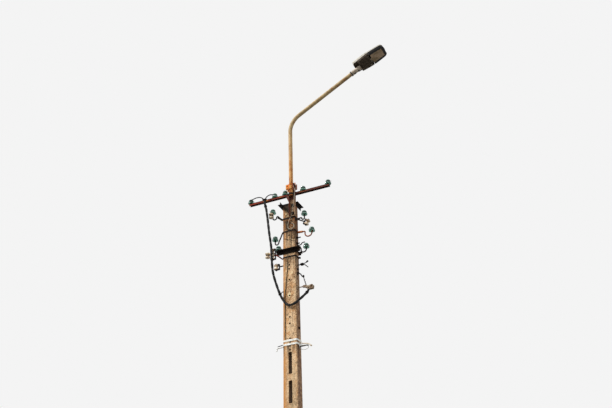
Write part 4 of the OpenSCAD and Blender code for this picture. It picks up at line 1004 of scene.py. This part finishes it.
def right_hooks():
    """A spare hook, a branch clamp with two lugs, and the hook that carries the chain, on the right flank."""
    palm = pole_half_width(7.38)
    return [
        rod([(pole_half_width(7.82), 0.012, 7.812), (0.13, 0.012, 7.811), (0.157, 0.011, 7.816),
             (0.17, 0.01, 7.834), (0.192, 0.01, 7.841), (0.216, 0.01, 7.84)], 0.0075),
        rod([(pole_half_width(7.492), 0, 7.492), (0.13, 0, 7.492), (0.156, 0, 7.492)], 0.008),
        block((0.152, -0.016, 7.476), (0.19, 0.016, 7.508)),
        rod([(0.186, 0, 7.5), (0.215, 0, 7.502), (0.24, 0, 7.512), (0.262, 0, 7.526)], 0.006),
        rod([(0.236, 0, 7.51), (0.25, 0, 7.519), (0.264, 0, 7.528)], 0.0115, 4),
        rod([(0.186, 0, 7.486), (0.206, 0, 7.482), (0.232, 0, 7.458), (0.262, 0, 7.428)], 0.006),
        block((palm, -0.018, 7.334), (palm + 0.006, 0.018, 7.39)),
        rod([(pole_half_width(7.36) + 0.003, 0, 7.362), (0.128, 0, 7.358), (0.148, 0, 7.34),
             (0.164, 0, 7.312), (0.18, 0, 7.298), (0.192, 0, 7.306), (0.19, 0, 7.318)], 0.008),
        puck(0.013, -0.012, 0.012, 16).moved(along((0.6, 0, -1), (0.186, 0, 7.302))),
    ] + [bolt_end(0.009, 0.003, (0, -1, 0), (x, -0.016, 7.492)) for x in (0.161, 0.181)]


def bar_washers():
    """Square washers under the clamp bolts' nuts, front and back."""
    return [block((x - 0.02, y, 7.685), (x + 0.02, y + math.copysign(0.0035, y), 7.725))
            for x in (-0.11, 0.11) for y in (-0.0666, 0.0666)]


def cable_clips():
    """The saddle on the crossarm, the stand-off and three rings round the cable, and the collar's gland."""
    ring = turned([(0.0185, -0.008), (0.0225, -0.008), (0.0225, 0.008), (0.0185, 0.008)], 24, ring=True)
    return [
        block((-0.402, -0.112, 8.632), (-0.34, -0.086, 8.652)),
        rod([(-0.371, -0.09, 8.642), (-0.371, -0.072, 8.642), (-0.371, -0.0575, 8.642)], 0.006, 3),
        ring.moved(along((-43, -11, 132), (-0.125, -0.104, 7.05))),
        rod([(-pole_half_width(7.1) + 0.004, -0.058, 7.104), (-0.108, -0.074, 7.088),
             (-0.117, -0.086, 7.068)], 0.006, 4),
        ring.moved(along((-29, 22, 102), (-0.3455, -0.1155, 8.509))),
        ring.moved(along((22, 16, 34), (0.247, -0.026, 7.035))),
        rod([(0.112, -0.123, 8.775), (0.12, -0.124, 8.752), (0.131, -0.12, 8.722),
             (0.134, -0.1155, 8.7)], 0.011),
    ]


def white_buckles():
    """Folded ends of the white bands on the right flank, and the thin loop under the right rod."""
    faces = [(pole_half_width(z) + BAND_GROWTH, z) for z in WHITE_LEVELS]
    shapes = [block((x - 0.001, 0.02, z - 0.015), (x + 0.008, 0.046, z + 0.015)) for x, z in faces]
    return shapes + [rod([(0.106, -0.004, 6.262), (0.118, -0.004, 6.248), (0.15, -0.003, 6.229),
                          (0.19, -0.002, 6.222), (0.222, -0.001, 6.228), (0.24, 0, 6.248)], 0.0042)]


def clamp_screws():
    """Bolts through the strain clamp's body, a nut on each side of it."""
    return [bolt_end(0.01, 0.003, (0, hand, 0), (x, hand * 0.022, z))
            for x, z in ((0.262, 7.112), (0.312, 7.126)) for hand in (-1, 1)]


class POLE_OT_ironwork(bpy.types.Operator):
    """Bolts, pegs, buckles, clips, sleeves and the small hooks on the pole's right side."""
    bl_idname = "pole.ironwork"
    bl_label = "Small ironwork"

    def execute(self, context):
        finishes = {name: finish(name) for name in IRONWORK_SLOTS}
        for name, coat, shapes in (
                ("band_buckles", "dark iron", buckles()),
                ("side_pegs", "dark iron", pegs()),
                ("right_hooks", "dark iron", right_hooks()),
                ("strain_chain", "dark iron", [chain((0.188, 0, 7.292), (0.224, 0, 7.16), 7)]),
                ("hook_sleeves", "dark iron", [
                    rod([(-0.112, -0.04, 8.254), (-0.148, -0.04, 8.288),
                         (-0.178, -0.04, 8.312)], 0.0145, 6, 16)]),
                ("hook_sleeve_right", "rusty sleeve", [
                    rod([(0.117, 0.006, 8.0199), (0.15, 0.006, 8.0164),
                         (0.186, 0.006, 8.0127)], 0.015, 4, 16)]),
                ("red_stay", "red hook", [
                    rod([(-0.1035, -0.04, 7.617), (-0.118, -0.052, 7.622), (-0.15, -0.07, 7.65),
                         (-0.182, -0.0906, 7.672), (-0.199, -0.0906, 7.684)], 0.0095)]),
                ("bar_washers", "dark iron", bar_washers()),
                ("cable_clips", "dark iron", cable_clips()),
                ("white_buckles", "white coating", white_buckles()),
                ("clamp_bolts_small", "dull zinc", clamp_screws()),
                ("tan_rod_right", "tan rod", [
                    rod([(0.104, -0.006, 6.335), (0.12, -0.006, 6.331), (0.153, -0.005, 6.313),
                         (0.22, -0.004, 6.3), (0.256, -0.002, 6.283), (0.28, 0, 6.258)], 0.0065),
                    puck(0.011, -0.01, 0.01, 16).moved(along((0, 1, 0.3), (0.278, 0, 6.262)))]),
                ("dark_rods_low", "dark iron", [
                    rod([(0.104, -0.01, 6.264), (0.135, -0.01, 6.268), (0.18, -0.01, 6.27),
                         (0.222, -0.008, 6.272), (0.242, -0.004, 6.256)], 0.006),
                    rod([(-0.103, -0.008, 6.338), (-0.135, -0.008, 6.338), (-0.18, -0.006, 6.334),
                         (-0.214, -0.004, 6.33)], 0.0055)]),
                ("tie_wires", "dark iron", tie_wires())):
            make_piece(name, joined(shapes), finishes[coat])
        return {"FINISHED"}


def seal():
    """A band under the canopy's rim: its outline from the hinge round the nose, swept inward and up."""
    s = np.linspace(0.56, 0.985, 40)
    half = lamp_half(s) - 0.001
    line = np.concatenate([np.stack([s * LAMP_L, half], 1), np.stack([s * LAMP_L, -half], 1)[::-1]])
    way = np.gradient(line, axis=0)
    inward = np.stack([way[:, 1], -way[:, 0]], 1) / np.linalg.norm(way, axis=1, keepdims=True)
    rings = [np.column_stack([line + depth * inward, np.full(80, level)])
             for depth, level in ((0, -0.005), (0, -0.0008), (0.01, -0.0008), (0.01, -0.005))]
    return rings_shape(np.stack(rings, axis=1)).moved(LAMP_FRAME)


def cheeks():
    """A small plate at each side of the hinge."""
    side = float(lamp_half(np.array(0.273 / LAMP_L)))
    return joined([block((0.2665, hand * (side - 0.0045), -0.0335), (0.2842, hand * (side - 0.0007), -0.0012))
                   for hand in (-1, 1)]).moved(LAMP_FRAME)


def screws():
    """Four flat screws in the gear cover."""
    places = [(x, hand * 0.72 * float(lamp_half(np.array(x / LAMP_L))), -GEAR_H - 0.0003)
              for x in (0.1, 0.24) for hand in (-1, 1)]
    heads = [puck(0.0065, 0, 0.003).moved(along((0, 0, -1), place)) for place in places]
    return joined(heads).moved(LAMP_FRAME)


def sleeve_band():
    """A band round the sleeve's lower end and two bolts in its underside."""
    low, high = (np.array(c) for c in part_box("lamp_sleeve"))
    r = 0.03645
    way = Vector((math.cos(ARM_SLOPE), 0, math.sin(ARM_SLOPE)))
    under = Vector((way.z, 0, -way.x))
    start = Vector((low[0] + r * way.z, (low[1] + high[1]) / 2, low[2] + r * way.x))
    inner, outer = r + 0.0003, r + 0.003
    ring = turned([(inner, 0.004), (outer, 0.005), (outer, 0.021), (inner, 0.022)], 40, ring=True)
    bolts = [bolt_end(0.011, 0.004, under, start + run * way + (r + 0.0002) * under) for run in (0.06, 0.13)]
    return joined([ring.moved(along(way, start))] + bolts)


LAMP_NODES = {
    "sleeve enamel": "lamp_sleeve", "gear cover": "gear_cover",
    "reflector": "lamp_reflector", "bulb": "lamp_bulb"}


class POLE_OT_lamp(bpy.types.Operator):
    """The street lamp's housing, gear cover, bowl and inner fittings."""
    bl_idname = "pole.lamp"
    bl_label = "Street lamp"

    def execute(self, context):
        dress(canopy_material(), "lamp_canopy")
        dress(bowl_material(), "lamp_bowl")
        for name, node in LAMP_NODES.items():
            dress(finish(name), node)
        dark = finish("dark fitting")
        make_piece("rim_seal", seal(), dark)
        make_piece("hinge_cheeks", cheeks(), dark)
        make_piece("gear_cover_screws", screws(), finish("zinc screw"))
        make_piece("sleeve_band", sleeve_band(), dark)
        return {"FINISHED"}


def light_world(scene, c):
    """Even light that fades below the horizon, behind a backdrop for the camera, gloss and glass."""
    scene.world = bpy.data.worlds.new("even sky")
    scene.world.use_nodes = True
    n = Nodes(scene.world.node_tree, "OutputWorld")
    height = n.add("SeparateXYZ", {0: n.add("TexCoord").outputs["Generated"]}).outputs["Z"]
    strength = n.ramp(height, -0.15, 0.15, c.sky * 0.1, c.sky)
    light = n.add("Background", {"Color": (0.93, 0.96, 1, 1), "Strength": strength})
    seen = n.add("Background", {"Color": c.backdrop})
    mix = n.add("MixShader", {0: n.backdrop_share(), 1: light.outputs[0], 2: seen.outputs[0]})
    n.feed(n.output, "Surface", mix.outputs[0])


def add_sun(name, turn, strength, spread):
    """A sun turned by three angles, with its spread, all in degrees."""
    lamp = bpy.data.lights.new(name, "SUN")
    lamp.energy = strength
    lamp.angle = math.radians(spread)
    placed(name, lamp).rotation_euler = [math.radians(a) for a in turn]


def add_camera(scene):
    """Looks along yaw and pitch, then rolls: right and up are turned about the line of sight."""
    yaw, pitch, roll = CAMERA_YAW, CAMERA_PITCH, CAMERA_ROLL
    sight = Vector((-math.sin(yaw) * math.cos(pitch), math.cos(yaw) * math.cos(pitch), math.sin(pitch)))
    level = Vector((math.cos(yaw), math.sin(yaw), 0))
    above = level.cross(sight)
    right = math.cos(roll) * level + math.sin(roll) * above
    up = -math.sin(roll) * level + math.cos(roll) * above
    lens = bpy.data.cameras.new("camera")
    lens.sensor_width = SENSOR_MM
    lens.lens = SENSOR_MM * CAMERA_FOCAL_PX / PHOTO_WIDTH_PX
    lens.clip_end = 1500
    scene.camera = placed("camera", lens)
    scene.camera.matrix_world = (
        Matrix.Translation(CAMERA_PLACE) @ Matrix((right, up, -sight)).transposed().to_4x4())


class POLE_OT_stage(bpy.types.Operator):
    """Pale floor, even sky, soft key light and the camera at the photograph's place."""
    bl_idname = "pole.stage"
    bl_label = "Stage"

    def execute(self, context):
        c = look("stage")
        scene = context.scene
        scene.view_settings.view_transform = "Standard"
        half = c.floor_size / 2
        floor = bpy.data.meshes.new("floor")
        corners = [(-half, -half, 0), (half, -half, 0), (half, half, 0), (-half, half, 0)]
        floor.from_pydata(corners, [], [(0, 1, 2, 3)])
        s = Shader("pale floor")
        s.paint(c.bounce)
        s.paint(c.floor, s.backdrop_share())
        floor.materials.append(s.finish(0.9))
        placed("floor", floor)
        light_world(scene, c)
        add_sun("key_light", (50, 0, -44), c.key, 14)
        add_sun("fill_light", (70, 0, 60), c.key * 0.1, 60)
        add_camera(scene)
        return {"FINISHED"}


class POLE_PT_panel(bpy.types.Panel):
    """Lists the pole's steps and their settings."""
    bl_idname = "POLE_PT_panel"
    bl_label = "Utility pole"
    bl_space_type = "VIEW_3D"
    bl_region_type = "UI"
    bl_category = "Pole"

    def draw(self, context):
        for step in STEPS:
            self.layout.operator(step.bl_idname)
        for name, group in LOOKS.items():
            box = self.layout.box()
            box.label(text=name.capitalize())
            for key in group.__annotations__:
                box.prop(getattr(context.scene, "pole_" + name), key)


STEPS = (POLE_OT_stage, POLE_OT_cable, POLE_OT_concrete, POLE_OT_steelwork, POLE_OT_glass, POLE_OT_ironwork,
         POLE_OT_lamp)


def register():
    for group in (*LOOKS.values(), *STEPS, POLE_PT_panel):
        bpy.utils.register_class(group)
    for name, group in LOOKS.items():
        setattr(bpy.types.Scene, "pole_" + name, bpy.props.PointerProperty(type=group))


def unregister():
    for name in LOOKS:
        delattr(bpy.types.Scene, "pole_" + name)
    for group in (POLE_PT_panel, *reversed(STEPS), *reversed(list(LOOKS.values()))):
        bpy.utils.unregister_class(group)


def main():
    register()
    for step in STEPS:
        area, name = step.bl_idname.split(".")
        getattr(getattr(bpy.ops, area), name)()


if __name__ == "__main__":
    main()
